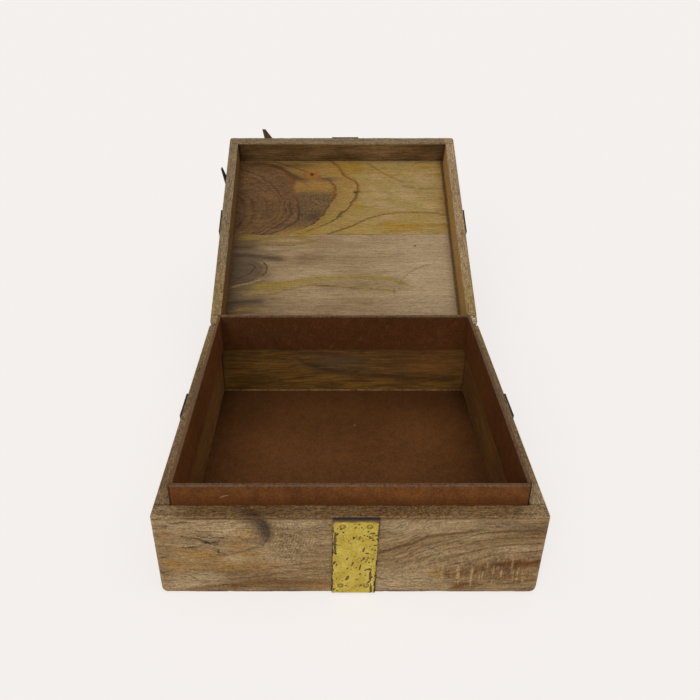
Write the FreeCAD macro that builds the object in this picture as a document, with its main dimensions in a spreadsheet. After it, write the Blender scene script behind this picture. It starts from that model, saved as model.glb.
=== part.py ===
"""Wooden box with a hinged lid, gilt metal ribbon and bow, stored with its lid open.

Millimetres, +Z up, front towards -Y. The origin is the centre of the underside.
"""
import FreeCAD, Part
import math
import os

import Sketcher

Vector = FreeCAD.Vector

SHEET = "sizes"

DIMENSIONS = {
    # Box and base
    "box_width": 220,
    "box_depth": 220,
    "base_height": 60,
    "base_wall": 9.4,
    "edge_round": 2.5,
    "foot_round": 4.0,
    "face_round": 1.2,
    "rim_round": 0.8,
    "rim_gap": 0.1,
    # Floor panel in its rebate
    "floor_thickness": 3.0,
    "floor_lip": 4.0,
    "floor_play": 0.2,
    # Liner strips
    "liner_thickness": 2.4,
    "liner_height": 30,
    "liner_proud": 14,
    "liner_end_gap": 0.7,
    "liner_round": 0.5,
    # Lid
    "liner_clearance": 1.0,
    "lid_inside": 22.6,
    "lid_board": 5.0,
    "front_board_depth": 105,
    "lid_open": 152,
    # Ribbon straps
    "strap_width": 26,
    "strap_thickness": 1.2,
    "strap_across": 3.5,
    "strap_along": -2.0,
    "strap_lean": 1.2,
    "strap_top_gap": 0.5,
    "strap_foot_gap": 1.0,
    "strap_back_gap": 4.0,
    "lid_strap_gap": 0.3,
    "strap_ramp": 4.0,
    "strap_play": 0.3,
    "fold_relief": 0.3,
    # Bow
    "knot_length": 18,
    "knot_overhang": 1.0,
    "knot_height": 8,
    "knot_round": 2.0,
    "loop_length": 62,
    "loop_height": 20,
    "loop_neck": 6,
    "bow_turn": 47.25,
    "front_tail_turn": 30.5,
    "left_tail_turn": 23.5,
    "tail_taper": 50,
    "tail_tip": 2.4,
    "tail_mitre_gap": 0.3,
    "tail_below_rim": 4.0,
    "front_tail_flare": 7.5,
    "left_tail_flare": 3.5,
    "tail_flare_start": 8.0,
    # Tacks of the ribbon and brads of the floor
    "tack_diameter": 1.2,
    "tack_length": 6.0,
    "tack_head": 2.4,
    "tack_head_height": 0.4,
    "tack_spread": 15,
    "tack_inset": 6,
    "brad_diameter": 1.0,
    "brad_length": 14,
    "brad_head": 2.2,
    "brad_head_height": 0.3,
    "brad_spread": 110,
    "nail_fit": 0.02,
    # Hinges
    "hinge_spacing": 130,
    "hinge_length": 26,
    "leaf_width": 9,
    "leaf_thickness": 0.8,
    "leaf_play": 0.3,
    "pin_diameter": 1.6,
    "pin_clearance": 0.05,
    "knuckle_wall": 0.7,
    "knuckle_gap": 0.15,
    "barrel_clearance": 0.25,
    "screw_spread": 15,
    "screw_play": 0.4,
    "stop_gap": 0.24,
    "screw_diameter": 2.0,
    "screw_length": 7.0,
    "screw_head": 4.6,
    "screw_head_height": 2.0,
    "slot_width": 0.7,
    "slot_depth": 0.6,
}

# Room that a cutting shape has past the face it cuts through
CUT_MARGIN = 2
# Radius of the two bends at the far end of a bow loop, as a share of its height
LOOP_BEND_SHARE = 0.42


class Size:
    """A number together with the sheet formula that gives it."""

    def __init__(self, value, formula=None):
        self.value = value
        self.formula = formula or repr(value)

    def join(self, other, sign, value):
        return Size(value, f"({self.formula} {sign} {other.formula})")

    def __add__(self, other):
        other = as_size(other)
        return self.join(other, "+", self.value + other.value)

    def __radd__(self, other):
        return as_size(other) + self

    def __sub__(self, other):
        other = as_size(other)
        return self.join(other, "-", self.value - other.value)

    def __rsub__(self, other):
        return as_size(other) - self

    def __mul__(self, other):
        other = as_size(other)
        return self.join(other, "*", self.value * other.value)

    def __truediv__(self, other):
        other = as_size(other)
        return self.join(other, "/", self.value / other.value)

    def __neg__(self):
        return Size(-self.value, f"(-1 * {self.formula})")


def as_size(item):
    return item if isinstance(item, Size) else Size(item)


def sine(angle):
    return Size(math.sin(math.radians(angle.value)), f"sin({angle.formula})")


def cosine(angle):
    return Size(math.cos(math.radians(angle.value)), f"cos({angle.formula})")


def tangent(angle):
    return Size(math.tan(math.radians(angle.value)), f"tan({angle.formula})")


def larger(first, second):
    return Size(max(first.value, second.value), f"max({first.formula}; {second.formula})")


class Sizes:
    """The driving dimensions, one attribute for each cell of the sheet."""

    def __init__(self, document):
        sheet = document.addObject("Spreadsheet::Sheet", SHEET)
        for row, (name, value) in enumerate(DIMENSIONS.items(), start=1):
            sheet.set(f"A{row}", name)
            sheet.set(f"B{row}", str(value))
            sheet.setAlias(f"B{row}", name)
        document.recompute()
        for name in DIMENSIONS:
            setattr(self, name, Size(float(sheet.get(name)), f"{SHEET}.{name}"))


doc = FreeCAD.newDocument("gift_box")
s = Sizes(doc)
pieces = []

# Places worked out from the driving dimensions
left = -s.box_width / 2
right = s.box_width / 2
front = -s.box_depth / 2
back = s.box_depth / 2
ground = Size(0)
inner_x = right - s.base_wall
inner_y = back - s.base_wall
floor_top = s.floor_thickness
liner_top = s.base_height + s.liner_proud

knuckle_radius = s.pin_diameter / 2 + s.pin_clearance + s.knuckle_wall
axis_out = knuckle_radius + s.barrel_clearance - s.leaf_thickness
hinge_y = back + axis_out
hinge_z = s.base_height + s.rim_gap / 2
hinge_places = {"left": -s.hinge_spacing / 2, "right": s.hinge_spacing / 2}

# The open lid stops where the domed screw heads of the two leaves come together, so the
# screws stand as far from the axis as keeps the balls of their heads apart there
half_fold = (180 - s.lid_open) / 2
head_ball = (s.screw_head * s.screw_head / 4 / s.screw_head_height + s.screw_head_height) / 2
ball_out = axis_out + head_ball - s.screw_head_height
stop_offset = (head_ball + s.stop_gap / 2 - ball_out * cosine(half_fold)) / sine(half_fold)
clear_offset = knuckle_radius + s.screw_play + s.screw_head / 2
screw_offset = larger(stop_offset, clear_offset)

# The lid frame has its origin on the hinge axis and lies as the closed lid does
lid_back = -axis_out
lid_front = lid_back - s.box_depth
lid_rim = s.rim_gap / 2
lid_wall = s.base_wall - s.liner_clearance
lid_under = lid_rim + s.lid_inside
lid_top = lid_under + s.lid_board
lid_strap_y = lid_back - s.box_depth / 2 + s.strap_along
bow_floor = s.strap_thickness * 2
knot_half = s.strap_width / 2 + s.knot_overhang

BASE_FRAME = "placement(vector(0; 0; 0); rotation(vector(1; 0; 0); 0))"
LID_FRAME = (
    f"placement(vector(0; {hinge_y.formula}; {hinge_z.formula});"
    f" rotation(vector(1; 0; 0); -1 * {s.lid_open.formula}))"
)
BOW_FRAME = (
    f"{LID_FRAME} * placement("
    f"vector({s.strap_across.formula}; {lid_strap_y.formula}; {lid_top.formula});"
    f" rotation(vector(0; 0; 1); -1 * {s.bow_turn.formula}))"
)


def hinge_frame(place):
    """The frame of one hinge: its axis along X through the middle of the barrel."""
    return (
        f"placement(vector({place.formula}; {hinge_y.formula}; {hinge_z.formula});"
        f" rotation(vector(1; 0; 0); 0))"
    )


def new_body(label, frame):
    body = doc.addObject("PartDesign::Body", label)
    body.Label = label
    body.setExpression("Placement", frame)
    pieces.append(body)
    return body


def new_sketch(body, plane, at):
    """A sketch parallel to an origin plane, at the given place along the plane's axis."""
    role = f"{plane}_Plane"
    support = next(item for item in body.Origin.OriginFeatures if item.Role == role)
    sketch = body.newObject("Sketcher::SketchObject", f"{body.Name}_sketch")
    sketch.AttachmentSupport = [(support, "")]
    sketch.MapMode = "FlatFace"
    offset = -at if plane == "XZ" else at
    sketch.setExpression("AttachmentOffset.Base.z", offset.formula)
    return sketch


def place_point(sketch, geometry, point, x, y):
    for kind, size in (("DistanceX", x), ("DistanceY", y)):
        size = as_size(size)
        number = sketch.addConstraint(Sketcher.Constraint(kind, -1, 1, geometry, point, size.value))
        sketch.setExpression(f"Constraints[{number}]", size.formula)


def draw_polygon(sketch, points):
    first = sketch.GeometryCount
    corners = [Vector(as_size(x).value, as_size(y).value, 0) for x, y in points]
    count = len(corners)
    for index in range(count):
        line = Part.LineSegment(corners[index], corners[(index + 1) % count])
        sketch.addGeometry(line, False)
    for index in range(count):
        following = first + (index + 1) % count
        sketch.addConstraint(Sketcher.Constraint("Coincident", first + index, 2, following, 1))
    for index, (x, y) in enumerate(points):
        place_point(sketch, first + index, 1, x, y)


def draw_rectangle(sketch, x0, y0, x1, y1):
    draw_polygon(sketch, [(x0, y0), (x1, y0), (x1, y1), (x0, y1)])


def draw_circles(sketch, centres, radius):
    for x, y in centres:
        centre = Vector(as_size(x).value, as_size(y).value, 0)
        circle = sketch.addGeometry(Part.Circle(centre, Vector(0, 0, 1), radius.value), False)
        number = sketch.addConstraint(Sketcher.Constraint("Radius", circle, radius.value))
        sketch.setExpression(f"Constraints[{number}]", radius.formula)
        place_point(sketch, circle, 3, x, y)


def add_feature(kind, body, sketch, length, flip):
    feature = body.newObject(f"PartDesign::{kind}", f"{body.Name}_{kind.lower()}")
    feature.Profile = sketch
    feature.Reversed = flip
    feature.setExpression("Length", length.formula)
    sketch.Visibility = False
    doc.recompute()
    return feature


def pad(body, sketch, length, flip=False):
    return add_feature("Pad", body, sketch, length, flip)


def pocket(body, sketch, length, flip=False):
    before = body.Tip.Shape.Volume
    feature = add_feature("Pocket", body, sketch, length, flip)
    if feature.Shape.Volume >= before:
        raise RuntimeError(f"a cut in {body.Label} takes nothing away")
    return feature


def lies_in(edge, **planes):
    """True where the whole edge lies in every named plane, such as y=front."""
    box = edge.BoundBox
    spans = {"x": (box.XMin, box.XMax), "y": (box.YMin, box.YMax), "z": (box.ZMin, box.ZMax)}
    return all(
        abs(end - as_size(place).value) < 1e-4
        for axis, place in planes.items()
        for end in spans[axis]
    )


def round_edges(body, radius, chosen):
    """Round the edges of the body that the test picks."""
    base = body.Tip
    names = [f"Edge{i}" for i, edge in enumerate(base.Shape.Edges, start=1) if chosen(edge)]
    feature = body.newObject("PartDesign::Fillet", f"{body.Name}_round")
    feature.Base = (base, names)
    feature.setExpression("Radius", as_size(radius).formula)
    doc.recompute()
    return feature


def add_board(label, frame, low, high):
    """A plain board between two corners of its frame."""
    body = new_body(label, frame)
    sketch = new_sketch(body, "XY", low[2])
    draw_rectangle(sketch, low[0], low[1], high[0], high[1])
    pad(body, sketch, high[2] - low[2])
    return body


def cut_box(body, low, high):
    sketch = new_sketch(body, "XY", low[2])
    draw_rectangle(sketch, low[0], low[1], high[0], high[1])
    pocket(body, sketch, high[2] - low[2], flip=True)


class Side:
    """One outer side of the base or the lid: its plane, and which way is out."""

    def __init__(self, plane, at, flip):
        self.plane = plane
        self.at = at
        self.flip = flip

    def plate(self, body, points, holes, hole_radius, thickness):
        """A plate lying on the outside of this side."""
        sketch = new_sketch(body, self.plane, self.at)
        draw_polygon(sketch, points)
        draw_circles(sketch, holes, hole_radius)
        pad(body, sketch, thickness, self.flip)

    def drill(self, body, holes, radius, depth):
        """Blind holes drilled inwards from this side."""
        sketch = new_sketch(body, self.plane, self.at)
        draw_circles(sketch, holes, radius)
        pocket(body, sketch, depth, self.flip)

    def stand(self, along, up):
        """Where a nail goes in on this side, and the way that its head points."""
        sign = -1 if self.flip else 1
        if self.plane == "XZ":
            return Vector(along.value, self.at.value, up.value), Vector(0, -sign, 0)
        return Vector(self.at.value, along.value, up.value), Vector(sign, 0, 0)


BASE_SIDES = {
    "front": Side("XZ", front, False),
    "back": Side("XZ", back, True),
    "left": Side("YZ", left, True),
    "right": Side("YZ", right, False),
}
LID_SIDES = {
    "front": Side("XZ", lid_front, False),
    "back": Side("XZ", lid_back, True),
    "left": Side("YZ", left, True),
    "right": Side("YZ", right, False),
}

# Holes for tacks, brads and screws
tack_hole = s.tack_diameter / 2 + s.nail_fit
tack_depth = s.tack_length - s.strap_thickness + s.nail_fit
brad_hole = s.brad_diameter / 2 + s.nail_fit
brad_end = s.brad_head_height + s.brad_length
screw_hole = s.screw_diameter / 2 + s.nail_fit


def strap_span(name):
    """The low and high end of a base strap."""
    gap = s.strap_back_gap if name == "back" else s.strap_top_gap
    return s.strap_foot_gap, s.base_height - gap


def strap_middle(name):
    """The middle of a base strap at its foot and at its top."""
    if name == "front":
        return s.strap_across - s.strap_lean, s.strap_across
    middle = s.strap_across if name == "back" else s.strap_along
    return middle, middle


def base_tack_places(name):
    low, high = strap_span(name)
    foot, top = strap_middle(name)
    return [
        (middle + s.tack_spread * side / 2, up)
        for middle, up in ((foot, low + s.tack_inset), (top, high - s.tack_inset))
        for side in (-1, 1)
    ]


def lid_tack_places(name):
    middle = s.strap_across if name in ("front", "back") else lid_strap_y
    up = lid_rim + s.lid_inside / 2
    return [(middle + s.tack_spread * side / 2, up) for side in (-1, 1)]


def hinge_screw_places(sign):
    """Screw places along X and up from the hinge axis, below it for sign -1."""
    return [
        (place + s.screw_spread * side / 2, screw_offset * sign)
        for place in hinge_places.values()
        for side in (-1, 1)
    ]


def cut_hinge_beds(body, face_y, bed_low, bed_high):
    """Shallow beds in which the hinge leaves lie flush with the back."""
    for place in hinge_places.values():
        half = s.hinge_length / 2 + s.leaf_play
        low = (place - half, face_y - s.leaf_thickness, bed_low)
        high = (place + half, face_y + CUT_MARGIN, bed_high)
        cut_box(body, low, high)


# Base
def make_base_long_wall(name):
    """Front or back wall, over the whole width of the box."""
    outer, inner = (front, -inner_y) if name == "front" else (back, inner_y)
    low_y, high_y = (outer, inner) if name == "front" else (inner, outer)
    high = (right, high_y, s.base_height)
    body = add_board(f"base_{name}_wall", BASE_FRAME, (left, low_y, ground), high)
    ends = (left, right)
    round_edges(body, s.foot_round, lambda edge: any(
        lies_in(edge, x=end, z=ground) for end in ends))
    round_edges(body, s.face_round, lambda edge: (
        lies_in(edge, y=outer) and not lies_in(edge, z=s.base_height)))
    round_edges(body, s.rim_round, lambda edge: (
        lies_in(edge, z=s.base_height) and not lies_in(edge, y=inner)))
    lip_x = inner_x + s.floor_lip
    lip_y = inner_y + s.floor_lip
    if name == "front":
        cut_box(body, (-lip_x, -lip_y, ground), (lip_x, inner + CUT_MARGIN, floor_top))
    else:
        cut_box(body, (-lip_x, inner - CUT_MARGIN, ground), (lip_x, lip_y, floor_top))
        cut_hinge_beds(body, back, hinge_z - s.leaf_width - s.leaf_play, s.base_height + CUT_MARGIN)
        holes = [(x, hinge_z + up) for x, up in hinge_screw_places(-1)]
        BASE_SIDES["back"].drill(body, holes, screw_hole, s.screw_length + s.nail_fit)
    return body


def make_base_side_wall(name):
    """Left or right wall, between the front and the back."""
    outer, inner = (left, -inner_x) if name == "left" else (right, inner_x)
    low_x, high_x = (outer, inner) if name == "left" else (inner, outer)
    high = (high_x, inner_y, s.base_height)
    body = add_board(f"base_{name}_wall", BASE_FRAME, (low_x, -inner_y, ground), high)
    round_edges(body, s.foot_round, lambda edge: lies_in(edge, x=outer, z=ground))
    round_edges(body, s.rim_round, lambda edge: lies_in(edge, x=outer, z=s.base_height))
    lip_x = inner_x + s.floor_lip
    end_y = inner_y + CUT_MARGIN
    if name == "left":
        cut_box(body, (-lip_x, -end_y, ground), (inner + CUT_MARGIN, end_y, floor_top))
    else:
        cut_box(body, (inner - CUT_MARGIN, -end_y, ground), (lip_x, end_y, floor_top))
    return body


def brad_places():
    """Two brads along each side of the floor, in the middle of its lip."""
    lip_x = inner_x + s.floor_lip / 2
    lip_y = inner_y + s.floor_lip / 2
    half = s.brad_spread / 2
    places = {"front": [], "back": [], "left": [], "right": []}
    for sign in (-1, 1):
        places["front"].append((half * sign, -lip_y))
        places["back"].append((half * sign, lip_y))
        places["left"].append((-lip_x, half * sign))
        places["right"].append((lip_x, half * sign))
    return places


def make_base_walls():
    """The four walls, with the holes of the tacks and the brads."""
    brads = brad_places()
    for name, side in BASE_SIDES.items():
        make = make_base_long_wall if name in ("front", "back") else make_base_side_wall
        body = make(name)
        side.drill(body, base_tack_places(name), tack_hole, tack_depth)
        sketch = new_sketch(body, "XY", floor_top)
        draw_circles(sketch, brads[name], brad_hole)
        pocket(body, sketch, brad_end - floor_top + s.nail_fit, flip=True)


def make_floor():
    """The floor panel, flush with the underside, with the brad heads sunk into it."""
    half_x = inner_x + s.floor_lip - s.floor_play
    half_y = inner_y + s.floor_lip - s.floor_play
    brads = [place for places in brad_places().values() for place in places]
    body = new_body("base_floor", BASE_FRAME)
    sketch = new_sketch(body, "XY", ground)
    draw_rectangle(sketch, -half_x, -half_y, half_x, half_y)
    draw_circles(sketch, brads, brad_hole)
    pad(body, sketch, s.floor_thickness)
    sketch = new_sketch(body, "XY", ground)
    draw_circles(sketch, brads, s.brad_head / 2 + s.nail_fit)
    pocket(body, sketch, s.brad_head_height, flip=True)


def make_liner():
    """Four strips round the inside, the front and back ones over the whole width."""
    low = liner_top - s.liner_height
    end_x = inner_x - s.liner_end_gap
    step_x = inner_x - s.liner_thickness
    step_y = inner_y - s.liner_thickness
    spans = {
        "front": ((-inner_x, -inner_y), (end_x, -step_y)),
        "back": ((-inner_x, step_y), (end_x, inner_y)),
        "left": ((-inner_x, -step_y), (-step_x, step_y)),
        "right": ((step_x, -step_y), (inner_x, step_y)),
    }
    for name, ((x0, y0), (x1, y1)) in spans.items():
        body = add_board(f"liner_{name}", BASE_FRAME, (x0, y0, low), (x1, y1, liner_top))
        across = "y" if name in ("front", "back") else "x"
        faces = (y0, y1) if across == "y" else (x0, x1)
        round_edges(body, s.liner_round, lambda edge: any(
            lies_in(edge, z=liner_top, **{across: face}) for face in faces))


def make_base_straps():
    half = s.strap_width / 2
    for name, side in BASE_SIDES.items():
        low, high = strap_span(name)
        foot, top = strap_middle(name)
        outline = [(foot - half, low), (foot + half, low), (top + half, high), (top - half, high)]
        body = new_body(f"base_{name}_strap", BASE_FRAME)
        side.plate(body, outline, base_tack_places(name), tack_hole, s.strap_thickness)


# Lid
def make_lid_long_wall(name):
    """Front or back wall of the lid, over its whole width."""
    if name == "front":
        outer, inner = lid_front, lid_front + lid_wall
        low_y, high_y = outer, inner
    else:
        outer, inner = lid_back, lid_back - lid_wall
        low_y, high_y = inner, outer
    body = add_board(f"lid_{name}_wall", LID_FRAME, (left, low_y, lid_rim), (right, high_y, lid_under))
    round_edges(body, s.edge_round, lambda edge: any(
        lies_in(edge, x=end, y=outer) for end in (left, right)))
    round_edges(body, s.rim_round, lambda edge: (
        lies_in(edge, z=lid_rim) and not lies_in(edge, y=inner)))
    if name == "back":
        cut_hinge_beds(body, lid_back, lid_rim - CUT_MARGIN, s.leaf_width + s.leaf_play)
        depth = s.screw_length + s.nail_fit
        LID_SIDES["back"].drill(body, hinge_screw_places(1), screw_hole, depth)
    return body


def make_lid_side_wall(name):
    """Left or right wall of the lid, between the front and the back."""
    outer = left if name == "left" else right
    inner = left + lid_wall if name == "left" else right - lid_wall
    low_x, high_x = (outer, inner) if name == "left" else (inner, outer)
    low = (low_x, lid_front + lid_wall, lid_rim)
    high = (high_x, lid_back - lid_wall, lid_under)
    body = add_board(f"lid_{name}_wall", LID_FRAME, low, high)
    round_edges(body, s.rim_round, lambda edge: lies_in(edge, x=outer, z=lid_rim))
    return body


def make_lid_walls():
    for name, side in LID_SIDES.items():
        make = make_lid_long_wall if name in ("front", "back") else make_lid_side_wall
        side.drill(make(name), lid_tack_places(name), tack_hole, tack_depth)


def make_lid_boards():
    """The two boards of the top, joined edge to edge across the box."""
    joint = lid_front + s.front_board_depth
    ends = (left, right)
    for name, outer, low_y, high_y in (
        ("front", lid_front, lid_front, joint),
        ("back", lid_back, joint, lid_back),
    ):
        low = (left, low_y, lid_under)
        body = add_board(f"lid_{name}_board", LID_FRAME, low, (right, high_y, lid_top))
        round_edges(body, s.edge_round, lambda edge: (
            lies_in(edge, y=outer, z=lid_top)
            or any(lies_in(edge, x=end, z=lid_top) or lies_in(edge, x=end, y=outer) for end in ends)))
        if name == "front":
            sketch = new_sketch(body, "XY", lid_top)
            draw_circles(sketch, [tail_tack_place(tail) for tail in TAILS], tack_hole)
            pocket(body, sketch, tack_depth)


def round_folds(body, axis, folds):
    """Round the inside and the outside of the two folds of a strap."""
    for faces, radius in folds:
        round_edges(body, radius, lambda edge: any(
            lies_in(edge, **{axis: at}, z=up) for at, up in faces))


def drill_strap(body, side, places):
    """Tack holes through one leg of a strap, from its outer face."""
    outside = s.strap_thickness * (1 if side.flip else -1)
    at = side.at + outside if side.plane == "XZ" else side.at - outside
    Side(side.plane, at, side.flip).drill(body, places, tack_hole, s.strap_thickness)


def make_lengthwise_strap():
    """The strap over the lid from front to back, folded down both walls."""
    thick = s.strap_thickness
    low_front = lid_rim + s.lid_strap_gap
    low_back = lid_rim + s.strap_back_gap
    crown = lid_top + thick
    body = new_body("lid_lengthwise_strap", LID_FRAME)
    sketch = new_sketch(body, "YZ", s.strap_across - s.strap_width / 2)
    draw_polygon(sketch, [
        (lid_front - thick, low_front), (lid_front - thick, crown),
        (lid_back + thick, crown), (lid_back + thick, low_back),
        (lid_back, low_back), (lid_back, lid_top),
        (lid_front, lid_top), (lid_front, low_front),
    ])
    pad(body, sketch, s.strap_width)
    inside = s.edge_round - s.fold_relief
    round_folds(body, "y", [
        (((lid_front, lid_top), (lid_back, lid_top)), inside),
        (((lid_front - thick, crown), (lid_back + thick, crown)), inside + thick),
    ])
    for name in ("front", "back"):
        drill_strap(body, LID_SIDES[name], lid_tack_places(name))


def make_crosswise_strap():
    """The strap from left to right, which steps over the lengthwise one."""
    thick = s.strap_thickness
    low = lid_rim + s.lid_strap_gap
    crown = lid_top + thick
    step_left = s.strap_across - s.strap_width / 2 - s.strap_play
    step_right = s.strap_across + s.strap_width / 2 + s.strap_play
    body = new_body("lid_crosswise_strap", LID_FRAME)
    sketch = new_sketch(body, "XZ", lid_strap_y + s.strap_width / 2)
    draw_polygon(sketch, [
        (left - thick, low), (left - thick, crown),
        (step_left - s.strap_ramp, crown), (step_left, crown + thick),
        (step_right, crown + thick), (step_right + s.strap_ramp, crown),
        (right + thick, crown), (right + thick, low),
        (right, low), (right, lid_top),
        (step_right + s.strap_ramp, lid_top), (step_right, crown),
        (step_left, crown), (step_left - s.strap_ramp, lid_top),
        (left, lid_top), (left, low),
    ])
    pad(body, sketch, s.strap_width)
    inside = s.edge_round - s.fold_relief
    round_folds(body, "x", [
        (((left, lid_top), (right, lid_top)), inside),
        (((left - thick, crown), (right + thick, crown)), inside + thick),
    ])
    for name in ("left", "right"):
        drill_strap(body, LID_SIDES[name], lid_tack_places(name))


# Bow
def make_knot():
    half = s.knot_length / 2
    top = bow_floor + s.knot_height
    body = add_board("bow_knot", BOW_FRAME, (-half, -knot_half, bow_floor), (half, knot_half, top))
    round_edges(body, s.knot_round, lambda edge: lies_in(edge, z=top))


def make_loop(name, sign):
    """A strip bent back on itself, with both ends against the knot."""
    thick = s.strap_thickness
    start = s.knot_length / 2
    far = start + s.loop_length
    low = bow_floor
    high = low + s.loop_height
    neck = low + s.loop_neck
    bend = s.loop_height * LOOP_BEND_SHARE
    body = new_body(f"bow_{name}_loop", BOW_FRAME)
    sketch = new_sketch(body, "XZ", s.strap_width / 2)
    outer = [(start, low), (far, low), (far, high), (start, neck)]
    draw_polygon(sketch, [(x * sign, up) for x, up in outer])
    pad(body, sketch, s.strap_width)
    sketch = new_sketch(body, "XZ", s.strap_width / 2)
    inner = [
        (start - CUT_MARGIN, low + thick), (far - thick, low + thick),
        (far - thick, high - thick), (start, neck - thick), (start - CUT_MARGIN, neck - thick),
    ]
    draw_polygon(sketch, [(x * sign, up) for x, up in inner])
    pocket(body, sketch, s.strap_width, flip=True)
    round_edges(body, bend - thick, lambda edge: any(
        lies_in(edge, x=(far - thick) * sign, z=up) for up in (low + thick, high - thick)))
    round_edges(body, bend, lambda edge: any(
        lies_in(edge, x=far * sign, z=up) for up in (low, high)))


class Tail:
    """A tail of the bow: over the lid, across its edge at a slant, and down the wall.

    In its own frame the tail leaves the knot towards -Y and the edge of the lid runs
    along X; the frame turns about the middle of the bow, on the top of the lid.
    """

    def __init__(self, reach, turn, lean_sign, frame_turn, flare):
        self.reach = reach
        self.turn = turn
        self.lean = tangent(turn) * lean_sign
        self.frame_turn = frame_turn
        self.flare = flare.value

    def middle(self, along):
        return self.lean.value * along


TAILS = {
    "front": Tail(lid_strap_y - lid_front, s.front_tail_turn, -1, 0, s.front_tail_flare),
    "left": Tail(s.strap_across - left, s.left_tail_turn, 1, -90, s.left_tail_flare),
}


def tail_tack_place(name):
    """Where the tack of a tail goes into the top of the lid."""
    tail = TAILS[name]
    along = tail.reach - s.tack_inset
    if name == "front":
        return s.strap_across + tail.lean * along, lid_strap_y - along
    return s.strap_across - along, lid_strap_y - tail.lean * along


def polygon_face(points):
    return Part.Face(Part.makePolygon(points + points[:1]))


def tail_sheet(tail, span):
    """The folded sheet of a tail before its sides are cut, twice the span wide."""
    thick = s.strap_thickness.value
    half = s.strap_width.value / 2
    slope = abs(tail.lean.value)
    clear = (half + s.strap_play.value + half / math.cos(math.radians(tail.turn.value))) / slope
    landed = clear + 2 * s.strap_ramp.value
    level = bow_floor.value
    reach = tail.reach.value
    drop = s.lid_inside.value + s.lid_board.value
    bend = drop - s.tail_flare_start.value
    tip = drop + s.tail_below_rim.value
    flare = math.atan2(tail.flare, tip - bend)
    under = [
        (0, level), (-clear, level), (-landed, 0), (-reach, 0), (-reach, -bend),
        (-reach - tail.flare, -tip),
    ]
    over = [
        (0, level + thick), (-clear, level + thick), (-landed, thick), (-reach - thick, thick),
        (-reach - thick, -bend + thick * math.tan(flare / 2)),
        (-reach - tail.flare - thick * math.cos(flare), -tip + thick * math.sin(flare)),
    ]
    face = polygon_face([Vector(-span, y, z) for y, z in under + over[::-1]])
    sheet = face.extrude(Vector(2 * span, 0, 0))
    inside = s.edge_round.value - s.fold_relief.value
    for radius, y, z in ((inside, -reach, 0), (inside + thick, -reach - thick, thick)):
        folds = [edge for edge in sheet.Edges if lies_in(edge, y=y, z=z)]
        sheet = sheet.makeFillet(radius, folds)
    return sheet


def tail_outline(tail, span):
    """Two prisms that hold the shape of a tail, seen from above and from outside the wall."""
    turn = math.radians(tail.turn.value)
    full = s.strap_width.value / 2 / math.cos(turn)
    bend_start = tail.reach.value - s.edge_round.value
    tip_drop = s.lid_inside.value + s.lid_board.value + s.tail_below_rim.value
    tip = bend_start + tip_drop
    taper = tip - s.tail_taper.value * math.cos(turn)

    def half(along):
        share = max(0, (along - taper) / (tip - taper))
        return full + share * (s.tail_tip.value / 2 - full)

    def outline(stations, point):
        right_side = [point(tail.middle(along) + half(along), along) for along in stations]
        left_side = [point(tail.middle(along) - half(along), along) for along in stations]
        return polygon_face(right_side + left_side[::-1])

    above = [0] + [taper] * (taper < bend_start) + [bend_start]
    beside = [bend_start] + [taper] * (taper > bend_start) + [tip]
    top = outline(above, lambda x, along: Vector(x, -along, -CUT_MARGIN))
    wall = outline(beside, lambda x, along: Vector(x, -span, bend_start - along))
    crown_low = wall.BoundBox.ZMax
    edge_x = (tail.middle(bend_start) - half(bend_start), tail.middle(bend_start) + half(bend_start))
    crown = Part.makeBox(edge_x[1] - edge_x[0], span - bend_start, 2 * CUT_MARGIN,
                         Vector(edge_x[0], -span, crown_low))
    rise = 2 * CUT_MARGIN + 2 * bow_floor.value
    return top.extrude(Vector(0, 0, rise)).fuse([
        wall.extrude(Vector(0, span - bend_start, 0)), crown])


def make_tail(name):
    tail = TAILS[name]
    span = s.box_width.value + s.box_depth.value
    shape = tail_sheet(tail, span).common(tail_outline(tail, span))
    centre = Vector(s.strap_across.value, lid_strap_y.value, lid_top.value)
    upright = Vector(0, 0, 1)
    shape.Placement = FreeCAD.Placement(centre, FreeCAD.Rotation(upright, tail.frame_turn))
    gap = s.tail_mitre_gap.value / 2
    x = gap if name == "front" else -gap - span
    keep = Part.makeBox(span, span, 2 * span, Vector(x, -knot_half.value - span, -span))
    keep.Placement = FreeCAD.Placement(centre, FreeCAD.Rotation(upright, -s.bow_turn.value))
    shape = shape.common(keep)
    x, y = tail_tack_place(name)
    hole = Part.makeCylinder(tack_hole.value, span, Vector(x.value, y.value, lid_under.value))
    add_shape(f"bow_{name}_tail", shape.cut(hole).removeSplitter(), LID_FRAME)


# Nails and screws
def add_shape(label, shape, frame):
    feature = doc.addObject("Part::Feature", label)
    feature.Label = label
    feature.Shape = shape
    feature.setExpression("Placement", frame)
    pieces.append(feature)


def nail_shape(diameter, length, head, head_height):
    """A pointed nail with a domed head, its head on the XY plane and its point down."""
    radius = diameter.value / 2
    rim = Vector(head.value / 2, 0, 0)
    crown = Vector(0, 0, head_height.value)
    ball = (rim.x ** 2 + crown.z ** 2) / (2 * crown.z)
    lean = math.atan2(rim.x, ball - crown.z) / 2
    middle = Vector(ball * math.sin(lean), 0, crown.z - ball + ball * math.cos(lean))
    shoulder = Vector(radius, 0, 2 * radius - length.value)
    point = Vector(0, 0, -length.value)
    corners = [crown, point, shoulder, Vector(radius, 0, 0), rim]
    edges = [Part.makeLine(a, b) for a, b in zip(corners, corners[1:])]
    edges.append(Part.Arc(rim, middle, crown).toShape())
    profile = Part.Face(Part.Wire(edges))
    return profile.revolve(Vector(0, 0, 0), Vector(0, 0, 1), 360)


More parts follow.
